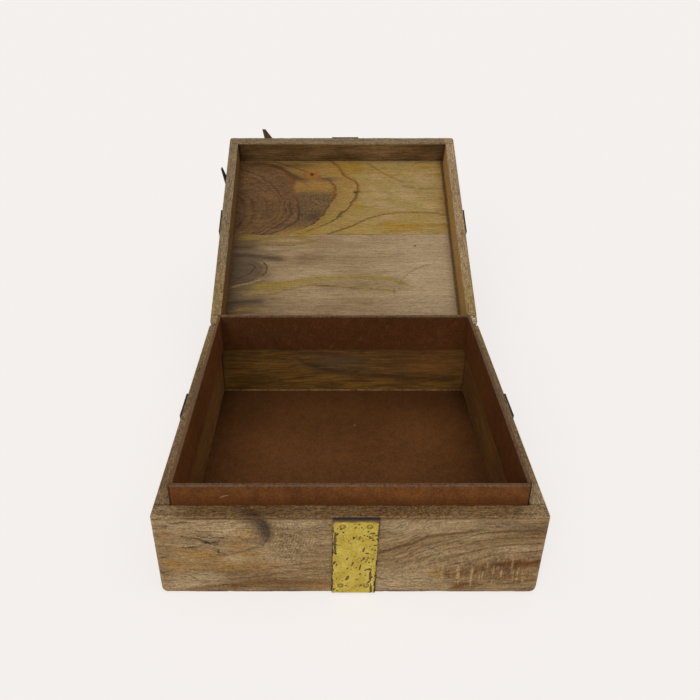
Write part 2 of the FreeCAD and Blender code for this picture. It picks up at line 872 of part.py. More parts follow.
def screw_shape():
    """A round head screw with a slot across its head."""
    screw = nail_shape(s.screw_diameter, s.screw_length, s.screw_head, s.screw_head_height)
    width = s.slot_width.value
    across = s.screw_head.value
    floor = s.screw_head_height.value - s.slot_depth.value
    slot = Part.makeBox(across, width, across, Vector(-across / 2, -width / 2, floor))
    return screw.cut(slot)


def set_in(shape, places):
    """Copies of a nail, each with its head at a point and facing out along a direction."""
    copies = []
    for point, outward in places:
        copy = shape.copy()
        copy.Placement = FreeCAD.Placement(point, FreeCAD.Rotation(Vector(0, 0, 1), outward))
        copies.append(copy)
    return Part.makeCompound(copies)


def make_tacks():
    tack = nail_shape(s.tack_diameter, s.tack_length, s.tack_head, s.tack_head_height)
    thick = s.strap_thickness.value
    for group, sides, spots, frame in (
        ("base_strap_tacks", BASE_SIDES, base_tack_places, BASE_FRAME),
        ("lid_strap_tacks", LID_SIDES, lid_tack_places, LID_FRAME),
    ):
        places = []
        for name, side in sides.items():
            for along, up in spots(name):
                point, outward = side.stand(along, up)
                places.append((point + outward * thick, outward))
        if group == "lid_strap_tacks":
            for name in TAILS:
                x, y = tail_tack_place(name)
                places.append((Vector(x.value, y.value, lid_top.value + thick), Vector(0, 0, 1)))
        add_shape(group, set_in(tack, places), frame)


def make_brads():
    brad = nail_shape(s.brad_diameter, s.brad_length, s.brad_head, s.brad_head_height)
    down = Vector(0, 0, -1)
    places = [
        (Vector(x.value, y.value, s.brad_head_height.value), down)
        for group in brad_places().values()
        for x, y in group
    ]
    add_shape("floor_brads", set_in(brad, places), BASE_FRAME)


def make_hinge_screws():
    screw = screw_shape()
    for group, side, sign, rise, frame in (
        ("base_hinge_screws", BASE_SIDES["back"], -1, hinge_z, BASE_FRAME),
        ("lid_hinge_screws", LID_SIDES["back"], 1, ground, LID_FRAME),
    ):
        places = [side.stand(x, rise + up) for x, up in hinge_screw_places(sign)]
        add_shape(group, set_in(screw, places), frame)


# Hinges
def make_leaf(label, frame, sign, knuckles, outline):
    """A leaf with its knuckles: its plate below the axis for sign -1, above it for sign 1."""
    body = new_body(label, frame)
    sketch = new_sketch(body, "XZ", -axis_out)
    draw_polygon(sketch, [(x, up * sign) for x, up in outline])
    holes = [(s.screw_spread * side / 2, screw_offset * sign) for side in (-1, 1)]
    draw_circles(sketch, holes, screw_hole)
    pad(body, sketch, s.leaf_thickness)
    for start, length in knuckles:
        sketch = new_sketch(body, "YZ", start)
        draw_circles(sketch, [(0, 0)], knuckle_radius)
        draw_circles(sketch, [(0, 0)], s.pin_diameter / 2 + s.pin_clearance)
        pad(body, sketch, length)


def make_hinge(name, place):
    """A butt hinge of three knuckles; the base has the outer two and holds the pin."""
    end = s.hinge_length / 2
    knuckle = (s.hinge_length - s.knuckle_gap * 2) / 3
    notch = knuckle_radius + s.leaf_play
    shoulder = end - knuckle
    base_outline = [
        (-end, s.leaf_width), (-end, 0), (-shoulder, 0), (-shoulder, notch),
        (shoulder, notch), (shoulder, 0), (end, 0), (end, s.leaf_width),
    ]
    tongue = knuckle / 2
    lid_outline = [
        (-end, s.leaf_width), (-end, notch), (-tongue, notch), (-tongue, 0),
        (tongue, 0), (tongue, notch), (end, notch), (end, s.leaf_width),
    ]
    base_knuckles = [(-end, knuckle), (shoulder, knuckle)]
    make_leaf(f"{name}_hinge_base_leaf", hinge_frame(place), -1, base_knuckles, base_outline)
    lid_leaf_frame = (
        f"{LID_FRAME} * placement(vector({place.formula}; 0; 0); rotation(vector(1; 0; 0); 0))"
    )
    make_leaf(f"{name}_hinge_lid_leaf", lid_leaf_frame, 1, [(-tongue, knuckle)], lid_outline)
    pin = doc.addObject("Part::Cylinder", f"{name}_hinge_pin")
    pin.Label = f"{name}_hinge_pin"
    pin.setExpression("Radius", (s.pin_diameter / 2).formula)
    pin.setExpression("Height", s.hinge_length.formula)
    pin.setExpression("Placement", (
        f"placement(vector({(place - end).formula}; {hinge_y.formula}; {hinge_z.formula});"
        f" rotation(vector(0; 1; 0); 90))"
    ))
    pieces.append(pin)


def check_pieces():
    for item in doc.Objects:
        if "Invalid" in item.State or "Error" in item.State:
            raise RuntimeError(f"{item.Label} failed: {item.State}")
    for piece in pieces:
        if piece.Shape.isNull() or not piece.Shape.isValid():
            raise RuntimeError(f"{piece.Label} has no valid shape")


def export_pieces():
    os.makedirs("parts", exist_ok=True)
    for piece in pieces:
        piece.Shape.exportStep(f"parts/{piece.Label}.step")
        print(f"{piece.Label}: {len(piece.Shape.Solids)} solids, {piece.Shape.Volume:.1f} mm3")


make_base_walls()
make_floor()
make_liner()
make_base_straps()
make_lid_walls()
make_lid_boards()
make_lengthwise_strap()
make_crosswise_strap()
make_knot()
make_loop("right", 1)
make_loop("left", -1)
for tail_name in TAILS:
    make_tail(tail_name)
make_tacks()
make_brads()
make_hinge_screws()
for hinge_name, hinge_place in hinge_places.items():
    make_hinge(hinge_name, hinge_place)
doc.recompute()
check_pieces()
export_pieces()
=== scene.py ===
import math
import operator
from functools import reduce

import bmesh
import bpy
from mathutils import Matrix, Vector
from mathutils.noise import noise as wander


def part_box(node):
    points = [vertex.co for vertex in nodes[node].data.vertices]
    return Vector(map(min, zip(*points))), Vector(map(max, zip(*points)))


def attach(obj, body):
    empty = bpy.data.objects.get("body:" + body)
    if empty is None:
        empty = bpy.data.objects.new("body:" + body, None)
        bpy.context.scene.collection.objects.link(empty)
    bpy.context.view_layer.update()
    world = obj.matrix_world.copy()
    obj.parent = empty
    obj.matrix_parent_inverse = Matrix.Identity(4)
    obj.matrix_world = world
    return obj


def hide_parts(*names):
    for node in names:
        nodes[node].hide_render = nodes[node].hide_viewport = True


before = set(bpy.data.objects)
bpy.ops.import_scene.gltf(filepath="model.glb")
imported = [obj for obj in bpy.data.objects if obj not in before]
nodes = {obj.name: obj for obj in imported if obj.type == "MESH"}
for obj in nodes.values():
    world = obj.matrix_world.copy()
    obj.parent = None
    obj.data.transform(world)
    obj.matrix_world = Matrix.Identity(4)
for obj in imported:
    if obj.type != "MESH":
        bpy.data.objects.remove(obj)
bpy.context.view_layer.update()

scene = bpy.context.scene

# The hinge in millimetres, and the slope of the open lid with its own directions: out of
# its top, and away from the hinge.
HINGE_Y, HINGE_Z = 111.0, 60.05
LEAN = math.radians(28)
UP = (0.0, math.sin(LEAN), -math.cos(LEAN))
OUT = (0.0, math.cos(LEAN), math.sin(LEAN))


# ---- material fields

class Field:
    """A value in a material's node tree; arithmetic on it adds nodes."""

    def __init__(self, socket):
        self.socket = socket
        self.tree = socket.id_data

    def __add__(self, other):
        return calc("ADD", self, other)

    def __sub__(self, other):
        return calc("SUBTRACT", self, other)

    def __rsub__(self, other):
        return calc("SUBTRACT", other, self)

    def __mul__(self, other):
        return calc("MULTIPLY", self, other)

    def __truediv__(self, other):
        return calc("DIVIDE", self, other)

    def __abs__(self):
        return calc("ABSOLUTE", self)

    __radd__ = __add__
    __rmul__ = __mul__


def tree_of(values):
    return next(value.tree for value in values if isinstance(value, Field))


def add(tree, kind, inputs, **settings):
    """A new shader node, with its inputs linked or set."""
    node = tree.nodes.new("ShaderNode" + kind)
    for key, value in settings.items():
        setattr(node, key, value)
    for key, value in inputs.items():
        if isinstance(value, Field):
            tree.links.new(value.socket, node.inputs[key])
        else:
            node.inputs[key].default_value = value
    return node


def field(tree, kind, inputs, output=0, **settings):
    """An output of a new node."""
    return Field(add(tree, kind, inputs, **settings).outputs[output])


def calc(operation, *values):
    return field(tree_of(values), "Math", dict(enumerate(values)), operation=operation)


def smooth(low, high, value):
    """0 below low, 1 above high, or the other way round where low is larger."""
    return field(value.tree, "MapRange", {0: value, 1: low, 2: high},
                 interpolation_type="SMOOTHSTEP")


def clamp(value):
    return field(value.tree, "Clamp", {0: value})


def total(parts):
    """Several marks added up, up to 1."""
    return clamp(reduce(operator.add, parts))


def bell(value, middle, width):
    """1 at the middle, falling to 0 over about two widths."""
    away = (value - middle) / width
    return calc("EXPONENT", away * away * -1.0)


def blob(x, y, at, size):
    """1 at a point, falling to 0 over about two sizes."""
    across, up = (x - at[0]) / size[0], (y - at[1]) / size[1]
    return calc("EXPONENT", (across * across + up * up) * -1.0)


def distance(x, y, at, size=(1.0, 1.0)):
    """How far a place is from a point, counted in sizes."""
    across, up = (x - at[0]) / size[0], (y - at[1]) / size[1]
    return calc("SQRT", calc("POWER", across, 2.0) + calc("POWER", up, 2.0))


def window(low, high, edge, value):
    """1 from low to high, with soft edges."""
    return smooth(low - edge, low + edge, value) * smooth(high + edge, high - edge, value)


def noise(x, y, z, detail=2.0, rough=0.5):
    """Noise round 0, of about 0.25 either way."""
    tree = tree_of((x, y, z))
    place = field(tree, "CombineXYZ", {0: x, 1: y, 2: z})
    return field(tree, "TexNoise", {
        "Vector": place, "Scale": 1.0, "Detail": detail, "Roughness": rough},
        noise_dimensions="3D") - 0.5


def flecks(x, y, share):
    """Scattered spots of uneven size: above 0 inside one, up to about 0.5 in the middle."""
    place = field(x.tree, "CombineXYZ", {0: x, 1: y})
    node = add(x.tree, "TexVoronoi", {"Vector": place, "Scale": 1.0}, voronoi_dimensions="2D")
    chance = field(x.tree, "SeparateXYZ", {0: Field(node.outputs["Color"])})
    size = (chance - (1.0 - share)) * (0.55 / share)
    return size - Field(node.outputs["Distance"])


def colour(red, green, blue):
    """A written colour, 0 to 255 as on a screen, in the renderer's own scale."""
    def linear(part):
        part /= 255
        return part / 12.92 if part <= 0.04045 else ((part + 0.055) / 1.055) ** 2.4
    return linear(red), linear(green), linear(blue), 1.0


def mix(amount, first, second):
    return field(tree_of((amount, first, second)), "Mix",
                 {0: amount, 6: first, 7: second}, 2, data_type="RGBA")


def stain(shade, amount, *written):
    """A shade with a written colour laid over it by an amount."""
    return mix(amount, shade, colour(*written))


def scale(shade, factor):
    """A colour made lighter or darker."""
    return field(tree_of((shade, factor)), "VectorMath", {0: shade, 3: factor}, operation="SCALE")


def ramp(value, stops):
    """A shade for a value, from steps of a position and a written colour."""
    node = add(value.tree, "ValToRGB", {0: value})
    elements = node.color_ramp.elements
    for i, (position, written) in enumerate(stops):
        if i > 1:
            elements.new(position)
        elements[i].position = position
        elements[i].color = colour(*written)
    return Field(node.outputs[0])


def curve(value, points):
    """A smooth line through points, in their own units."""
    lows = [min(p[i] for p in points) for i in (0, 1)]
    spans = [max(p[i] for p in points) - lows[i] for i in (0, 1)]
    node = add(value.tree, "FloatCurve", {"Value": clamp((value - lows[0]) / spans[0])})
    line = node.mapping.curves[0]
    places = [((p[0] - lows[0]) / spans[0], (p[1] - lows[1]) / spans[1]) for p in sorted(points)]
    line.points[0].location, line.points[-1].location = places[0], places[-1]
    for place in places[1:-1]:
        line.points.new(*place)
    node.mapping.update()
    return Field(node.outputs[0]) * spans[1] + lows[1]


def vein(u, v, points, width, fade=4.0):
    """A thin line through points, given along u."""
    mark = bell(v - curve(u, points), 0.0, width)
    return mark * window(points[0][0], points[-1][0], fade, u)


# ---- materials

def start(name):
    material = bpy.data.materials.new(name)
    material.use_nodes = True
    material.node_tree.nodes.clear()
    return material


def surface(material):
    """Where a point is, in metres, and which way its face looks, whatever the pose."""
    place = add(material.node_tree, "TexCoord", {})
    return Field(place.outputs["Object"]), Field(place.outputs["Normal"])


def dot(first, second):
    return field(first.tree, "VectorMath", {0: first, 1: second}, "Value", operation="DOT_PRODUCT")


def base_place(material):
    """Millimetres to the right, to the back and up."""
    parts = add(material.node_tree, "SeparateXYZ", {0: surface(material)[0]})
    return [Field(part) * 1000.0 for part in parts.outputs]


def lid_place(material):
    """Millimetres to the right, from the hinge and up from the rim, in the lid."""
    x, y, z = base_place(material)
    y, z = y - HINGE_Y, z - HINGE_Z
    return (x, y * math.cos(LEAN) + z * math.sin(LEAN),
            y * math.sin(LEAN) - z * math.cos(LEAN))


def end(material, shade, rough, height, depth, gloss, metal=0.0):
    """The shader of a material; depth is that of its bumps, in metres."""
    tree = material.node_tree
    bump = field(tree, "Bump", {"Strength": 0.5, "Distance": depth, "Height": height})
    shader = add(tree, "BsdfPrincipled", {
        "Base Color": shade, "Roughness": rough, "Metallic": metal,
        "Specular IOR Level": gloss, "Normal": bump})
    output = add(tree, "OutputMaterial", {})
    tree.links.new(shader.outputs[0], output.inputs[0])
    return material


class Grain:
    """The rings, fibres and pores of a board, round 0."""

    def __init__(self, along, level, depth, seed):
        def lines(long, wide, detail, rough=0.5):
            return noise(along / long, level / wide + seed, depth / wide, detail, rough)

        def spots(long, wide, detail):
            return noise(along / long + seed, level / wide, depth / wide, detail)

        level = level + spots(95, 50, 1) * 10
        self.along, self.level, self.depth = along, level, depth
        self.rings = lines(260, 9, 2)
        self.cloud = spots(50, 22, 2)
        self.streaks = lines(26, 1.8, 3, 0.6)
        self.hairs = lines(11, 0.7, 2, 0.6)
        self.fibres = lines(4, 0.8, 3, 0.65)
        self.grit = lines(1.3, 0.9, 2, 0.7)
        self.pores = smooth(0.1, 0.17, spots(5, 0.7, 1))

    def tone(self, rings):
        return self.rings * rings + self.cloud * 1.3 + self.streaks * 0.45 + 0.5

    def light(self, crisp):
        """What the fibres and pores do to the shade."""
        lines = (self.fibres * 1.2 + self.hairs + self.grit * 1.4) * crisp
        lines = lines + self.streaks * 0.5 + 1.04
        return lines * (1.0 - self.pores * (crisp * 0.28))

    def height(self):
        return self.fibres + self.hairs * 0.6 + self.grit * 0.4 - self.pores * 0.5


def level_board(axes):
    return 0.0


def wood(name, place, turn, seed, stops, figure, bend=level_board, rings=1.1, crisp=1.0):
    """A board; turn gives its along, across and depth axes out of x, y and z."""
    material = start(name)
    axes = place(material)
    along, across, thick = (axes[i] for i in turn)
    grain = Grain(along, across - bend(axes), thick, seed)
    shade = figure(axes, grain, ramp(grain.tone(rings), stops))
    shade = scale(shade, grain.light(crisp))
    rough = grain.fibres * 0.3 + 0.66
    return end(material, shade, rough, grain.height(), depth=0.00025, gloss=0.15)


# ---- wood of the base

def base_rim(axes, grain, shade):
    """The sawn top edge, whose tone runs a little way down the outside."""
    x, y, z = axes
    top = smooth(57.5, 58.2, z + grain.grit * 2)
    edge = mix(smooth(-70, 70, x), colour(91, 63, 33), colour(106, 77, 45))
    edge = stain(edge, smooth(86, 103, abs(x)) * 0.9, 138, 113, 79)
    right = smooth(-20, 20, x)
    sides = mix(clamp(smooth(10, -30, y) + right), colour(96, 76, 48), colour(118, 94, 64))
    sides = stain(sides, smooth(20, 98, y), 142, 116, 72)
    sides = stain(sides, smooth(-64, -97, y) * right, 161, 138, 103)
    edge = mix(smooth(100.9, 100.4, abs(y)), edge, sides)
    # Painted shade: over the rounded outer top edge of the front and back walls, the rim tone is
    # laid on more thickly and darker, where light would catch it.
    turn = bell(z, 58.5, 0.7) * smooth(108, 109, abs(y))
    shade = mix(top * (turn * 0.2 + 0.7), shade, scale(edge, 1 - turn * 0.2))
    shade = scale(shade, top * (grain.grit * 1.6 + grain.fibres * 0.8) + 1)
    line = bell(z + grain.grit * 2, 57.7, 0.2) * smooth(-0.1, 0.1, grain.cloud)
    shade = stain(shade, line * 0.4, 58, 42, 25)
    smudge = bell(x + grain.streaks * 20, -53, 6.5) * smooth(-102, -106, y)
    return stain(shade, top * smudge * 0.5, 54, 39, 27)


def base_inside(axes, grain, shade):
    """Honey coloured inner faces, with painted light on the side walls and painted shadow up
    towards the strips.
    """
    x, y, z = axes
    inner = smooth(101.5, 100.8, calc("MAXIMUM", abs(x), abs(y)))
    honey = mix(smooth(-0.2, 0.2, grain.cloud + grain.streaks),
                colour(88, 59, 22), colour(119, 83, 33))
    slope = noise(x / 60, y / 60, (z - x * 0.12 - y * 0.1) / 3.2, 3, 0.6)
    honey = stain(honey, bell(slope, 0.04, 0.025) * 0.6, 66, 44, 20)
    sides = smooth(100, 99, abs(y))
    honey = stain(honey, sides * 0.45, 112, 78, 46)
    # Painted light and shade: the inner faces of the side walls are lightened, the left one more
    # towards the back, the right one less towards the back.
    glow = smooth(-40, 60, y) * (0.3 - smooth(-20, 20, x) * 0.6) + 0.5
    shade = mix(inner, shade, scale(honey, sides * glow + 0.9))
    # Painted shadow: the inner faces darken up towards the liner strips, most on the back wall.
    return stain(shade, inner * smooth(26, 44, z) * (0.32 - sides * 0.22), 44, 28, 12)


def base_wall(axes, grain, shade):
    """What every wall of the base has: rim, inside, joints, stained foot, rubbed corners."""
    x, y, z = axes
    shade = base_inside(axes, grain, base_rim(axes, grain, shade))
    joint = bell(abs(y), 100.6, 0.4) * smooth(99, 101, abs(x))
    shade = stain(shade, joint * 0.85, 40, 28, 18)
    foot = smooth(1.9, 1, z + grain.streaks * 2)
    shade = stain(shade, foot * 0.75, 92, 60, 40)
    corner = smooth(107.5, 109.6, calc("MINIMUM", abs(x), abs(y)))
    worn = corner * smooth(-0.12, 0.1, grain.streaks + grain.cloud)
    return stain(shade, worn * 0.35, 160, 136, 102)


def back_figure(axes, grain, shade):
    """Inside the back wall, a grey cloud and a dark streak that falls to the right."""
    x, y, z = axes
    shade = base_wall(axes, grain, shade)
    inside = smooth(104, 102, y)
    cloud = blob(x, z + grain.cloud * 12, (-2, 28), (24, 7)) * 0.55
    shade = stain(shade, cloud * inside, 86, 68, 48)
    streak = vein(x, z + grain.streaks * 8, [
        (-38, 33), (-17, 24), (6, 19.5), (43, 16), (92, 14)], 2.6, 9)
    shade = stain(shade, streak * inside * 0.6, 42, 31, 19)
    warm = smooth(10, 60, x) * smooth(12, 22, z) * 0.4
    return stain(shade, warm * inside, 100, 62, 30)


def front_bend(axes):
    """The front board's lines part round its knot and rise to the right."""
    x, y, z = axes
    knot = blob(x, z, (-59, 48), (19, 14)) * (z - 48) * 0.5
    rise = curve(x, [(-110, 2), (-60, 1), (-20, 0), (17, 0), (36.5, 8), (47, 12.5), (66, 16),
                     (94, 17.6), (110, 18)])
    return knot + rise * smooth(6, 40, z)


def front_knot(x, y, z, grain, shade):
    """Half a knot: smoky rings on one side, ripples beyond them."""
    up = z + (y + 110) * 0.8
    wobble = noise(x / 6, y / 9, z / 6, 3, 0.65)
    ring = distance(x, up, (-59.5, 48), (13.8, 14.6)) + wobble * 0.2
    side = smooth(-64, -51, x) * smooth(32, 42, z)
    shade = stain(shade, blob(x, z, (-68, 51), (12, 7)) * 0.7, 158, 136, 100)
    smoke = smooth(0.1, 0.9, ring) * smooth(1.35, 0.98, ring) * side
    shade = stain(shade, smoke * smooth(34, 54, z) * 0.9, 86, 66, 46)
    dark = bell(ring, 0.92, 0.22) * side * smooth(36, 50, z)
    shade = stain(shade, dark * 0.52, 60, 45, 34)
    arcs = total(bell(ring, at, width) * amount for at, width, amount in (
        (1.01, 0.05, 1), (0.92, 0.025, 0.6), (0.84, 0.025, 0.7), (0.75, 0.02, 0.5),
        (0.65, 0.02, 0.5), (0.55, 0.02, 0.4), (1.1, 0.02, 0.5), (1.18, 0.02, 0.3)))
    shade = stain(shade, arcs * side * (smooth(30, 50, z) * 0.5 + 0.35), 48, 37, 30)
    reach = blob(x, z, (-33, 40), (16, 19)) * smooth(1, 1.25, ring)
    ripple = calc("SINE", ring * 56 + noise(x / 1.6, y, z / 1.6, 1) * 7)
    speckle = smooth(0, 0.14, noise(x / 1.2, y / 1.2, z / 1.2, 2))
    shade = stain(shade, clamp(ripple * 0.7 + 0.1) * reach * 0.65, 80, 60, 40)
    shade = stain(shade, speckle * reach * 0.75, 86, 64, 40)
    tail = vein(x, z + grain.fibres * 4, [
        (-80, 30), (-70, 31.2), (-63.6, 32.8), (-57, 35), (-50, 39)], 0.9)
    return stain(shade, tail * 0.65, 98, 66, 36)


def front_cracks(x, y, z, grain, shade):
    """Thin dark cracks at the left, with a hatched patch and two pits."""
    zigzag = grain.fibres * 4 + noise(x / 1.4, y, 0.5, 2) * 3.2
    marks = total(vein(x, z + zigzag, points, width * 0.6, 1.5) for points, width in (
        ([(-110, 52.5), (-105, 53.1), (-100.4, 53)], 0.6),
        ([(-98.3, 54.1), (-94.2, 55.4), (-88.2, 55.5)], 0.5),
        ([(-95, 45), (-87.8, 43.8), (-77.7, 39.3), (-71, 38)], 0.8),
        ([(-86, 46), (-77.3, 44.3), (-68.5, 43.8)], 0.5),
        ([(-84, 42.6), (-79, 40.6), (-73, 41)], 0.9),
        ([(-95, 37), (-89, 36.8), (-84, 37.8)], 1.1),
        ([(-107.8, 28.4), (-105.6, 29.2), (-103.6, 30.4)], 0.8),
        ([(-108, 15.7), (-106, 14.8), (-104, 15.4)], 0.7),
        ([(-92, 14.4), (-90.6, 12.4), (-87.6, 10.2)], 0.7),
        ([(-76, 36), (-74, 33), (-72, 33.6)], 0.7)))
    broken = smooth(-0.3, -0.04, noise(x / 2.6, y, z / 1, 2))
    hatch = smooth(-0.02, 0.12, noise(x / 4 + z / 2, y, z / 0.9, 2))
    shade = stain(shade, hatch * blob(x, z, (-78, 41.6), (9, 3.4)) * 0.75, 74, 62, 50)
    shade = stain(shade, marks * broken, 46, 37, 31)
    pits = total((blob(x, z, (-85.2, 59), (1, 0.8)), blob(x, z, (-74.2, 33.8), (0.5, 1.6))))
    return stain(shade, pits, 40, 34, 34)


def front_gold(x, z, grain, shade):
    """Honey coloured streaks, most of them in the left half, and pale patches."""
    spots = total(blob(x, z, at, size) for at, size in (
        ((-77, 28), (14, 3.4)), ((-57, 31), (9, 3)), ((-63, 38.8), (8, 2.6)),
        ((-102, 25), (9, 3)), ((-105, 44.3), (3, 1.6)), ((-72, 21), (13, 2.6)),
        ((-52, 22.8), (12, 3)), ((-60, 48), (5, 4)), ((-96, 21), (8, 2)),
        ((-17, 5), (7, 2)), ((54, 17), (9, 3.6)), ((-86, 33), (12, 2))))
    fleck = smooth(-0.12, 0.1, grain.streaks + grain.fibres * 0.6)
    shade = stain(shade, spots * (fleck * 0.6 + 0.25), 144, 104, 47)
    pale = total(blob(x, z + grain.streaks * 6, at, size) for at, size in (
        ((30, 9), (24, 9)), ((-66, 28), (7, 3)), ((-98, 6), (10, 3)), ((30, 53), (14, 5)),
        ((-84, 12), (14, 4)), ((70, 46), (9, 2.4)), ((92, 37), (10, 2.4)), ((48, 33), (8, 3)),
        ((96, 7), (12, 3)), ((-30, 54), (14, 3))))
    return stain(shade, pale * (0.6 - smooth(16, 60, x) * 0.24), 166, 146, 112)


def front_lines(x, z, grain, shade):
    """Slanting growth lines at the right."""
    crisp = noise(grain.along / 24, grain.level / 1.5, grain.depth / 1.5, 2, 0.6)
    crisp = smooth(0.1, 0.2, crisp) * smooth(22, 48, x) * smooth(20, 28, z)
    above = curve(x, [(16, 31), (36, 39), (50, 45), (64, 49), (80, 52), (110, 54)])
    crisp = crisp * smooth(3, 0, z - above)
    shade = stain(shade, crisp * 0.5, 86, 61, 38)
    place = z + grain.fibres * 3 + grain.streaks * 2
    lines = total(vein(x, place, points, width, 6) * amount for points, width, amount in (
        ([(14, 31), (28.6, 37.4), (35.8, 39.9), (41.9, 44.1), (49.8, 46), (59.3, 47.4),
          (72, 50)], 1.1, 1),
        ([(35.4, 31.4), (42.6, 34.3), (50.4, 38.2), (59.8, 41.6), (69.1, 46), (80, 48.2),
          (109, 49)], 0.5, 0.9),
        ([(22, 29), (36, 35), (50, 41), (62, 44.6)], 0.5, 0.7),
        ([(50, 33), (66, 39), (84, 43.6), (109, 44)], 0.5, 0.7),
        ([(52, 27), (70, 33.5), (88, 38.4), (109, 39)], 0.6, 0.8),
        ([(56, 22), (72, 27), (90, 32), (109, 33)], 0.6, 0.7),
        ([(90, 7.4), (98, 8), (104, 9.6), (110, 11.6)], 0.7, 0.9)))
    shade = stain(shade, lines * smooth(-0.3, 0, grain.fibres) * 0.9, 80, 52, 29)
    shade = stain(shade, blob(x, z, (84, 54.6), (15, 3)) * 0.55, 98, 80, 60)
    shade = stain(shade, blob(x, z + grain.streaks * 8, (55, 27.5), (9, 3)) * 0.5, 94, 72, 40)
    return stain(shade, blob(x, z, (104.8, 45.1), (2.4, 0.7)) * 0.8, 146, 92, 42)


def front_rust(x, y, z, grain, shade):
    """A rusty band low at the right, with the marks of a saw."""
    shade = stain(shade, blob(x, z, (94, 16), (19, 9)) * 0.75, 94, 63, 30)
    shade = stain(shade, blob(x, z + grain.streaks * 9, (72, 40), (36, 10)) * 0.3, 104, 80, 50)
    middle = curve(x, [(44, 19), (50.3, 18.1), (58.9, 15.4), (67.1, 16.3), (75.1, 18.7),
                       (83.1, 21.6), (95.2, 24), (110.6, 25.7)])
    band = bell(z + grain.streaks * 7, middle, 4.6)
    band = band * smooth(46, 60, x) * (smooth(70, 100, x) * 0.4 + 0.6)
    middle = curve(x, [(58, 4), (66, 6), (74.7, 7.6), (86, 9)])
    foot = bell(z + grain.streaks * 9, middle, 2.8) * window(60, 78, 3, x) * 0.85
    patches = smooth(-0.36, -0.06, noise(x / 9, y / 9, z / 3.5, 2))
    shade = stain(shade, clamp(band + foot) * patches, 86, 49, 14)
    saw = noise(x / 1.5, 3, z / 40, 2) * window(52, 108, 4, x) * bell(z, 15, 9)
    ends = smooth(-0.18, 0.02, noise(x / 4, 1, z / 9, 2))
    shade = stain(shade, smooth(0.04, 0.14, saw) * ends * 0.55, 178, 150, 100)
    shade = stain(shade, smooth(-0.05, -0.15, saw) * ends * 0.35, 80, 56, 32)
    cuts = total(bell(x, at, 0.7) * window(low, high, 2, z) for at, low, high in (
        (54, 7, 24), (62, 8, 22), (71, 6, 24), (79.5, 17, 27), (85, 19, 30), (93.7, 14, 29),
        (97.6, 8, 20), (101, 7, 18)))
    return stain(shade, cuts * smooth(-0.3, 0.1, grain.grit + grain.fibres) * 0.34,
                 176, 146, 96)


def front_figure(axes, grain, shade):
    x, y, z = axes
    shade = front_gold(x, z, grain, shade)
    shade = stain(shade, smooth(0.06, 0.2, grain.hairs) * 0.4, 86, 61, 36)
    slant = vein(x, z + grain.streaks * 5, [
        (-74, 2.6), (-58.6, 7.4), (-45.9, 9.4), (-36.7, 8.4), (-22.4, 8.6), (-10, 8)], 2.6, 8)
    shade = stain(shade, slant * 0.8, 100, 66, 31)
    place = z + grain.fibres * 3 + grain.streaks * 3
    rays = total(vein(x, place, points, 0.6, 8) for points in (
        [(-72, 11), (-50, 14), (-30, 18.5), (-11, 21.5)], [(-62, 6), (-40, 11), (-11, 16)],
        [(-50, 19), (-32, 23), (-11, 26)], [(-96, 3.4), (-80, 5), (-60, 9)]))
    shade = stain(shade, rays * 0.6, 84, 58, 34)
    shade = front_knot(x, y, z, grain, shade)
    shade = front_cracks(x, y, z, grain, shade)
    shade = front_lines(x, z, grain, shade)
    shade = front_rust(x, y, z, grain, shade)
    return base_wall(axes, grain, shade)


# ---- wood of the lid

def lid_wear(axes, grain, shade):
    """Paler wood where the lid's outer edges and corners are rubbed."""
    x, u, w = axes
    side, far = abs(x) - 110, abs(u - 111) - 110
    corner = smooth(-2.4, -0.6, calc("MINIMUM", side, far))
    top = smooth(25.6, 27.2, w) * smooth(-2.2, -0.8, calc("MAXIMUM", side, far))
    worn = clamp(corner + top) * smooth(-0.12, 0.1, grain.streaks + grain.cloud)
    return stain(shade, worn * 0.5, 166, 142, 106)


def lid_rim(axes, grain, shade):
    """Grey rims, and honey coloured inner walls, with painted light on the right one and painted
    shade into the corners.
    """
    x, u, w = axes
    rim = smooth(1.2, 0.3, w)
    grey = mix(smooth(99, 103, x), colour(115, 98, 73), colour(150, 124, 90))
    shade = mix(rim * 0.6, shade, grey)
    shade = stain(shade, rim * smooth(90, 20, u) * 0.5, 140, 115, 64)
    shade = scale(shade, rim * (grain.grit * 1.4 + grain.fibres * 0.9) + 1)
    chips = smooth(0, 0.12, noise(x / 1.3, u / 1.3, w / 1.3, 2))
    shade = stain(shade, blob(x, u, (107, 5), (3.4, 5.5)) * chips * rim, 204, 190, 164)
    joint = total((bell(u, 9.4, 0.4), bell(u, 212.6, 0.35) * 0.7))
    shade = stain(shade, joint * smooth(99, 101, abs(x)) * 0.85, 46, 31, 18)
    inner = smooth(0.8, 2, w) * smooth(106, 104, abs(x)) * window(4, 217, 1.5, u)
    front = smooth(208, 211, u)
    # Painted light: the right inner wall gets a much lighter honey than the left one.
    honey = mix(smooth(-40, 40, x), colour(136, 100, 50), colour(196, 154, 84))
    shade = mix(inner * 0.75, shade, stain(honey, front, 100, 71, 34))
    # Painted shade: the inner walls darken into the side corners at the front, deeper down towards
    # the boards, and a little over the whole front wall.
    corner = smooth(90, 102, abs(x)) * front * 0.5 + smooth(12, 24, w) * 0.25
    shade = stain(shade, clamp((corner + front * 0.2) * inner), 62, 42, 18)
    shade = scale(shade, inner * front * (grain.cloud * 1.6 + grain.streaks * 1.4) + 1)
    return lid_wear(axes, grain, shade)


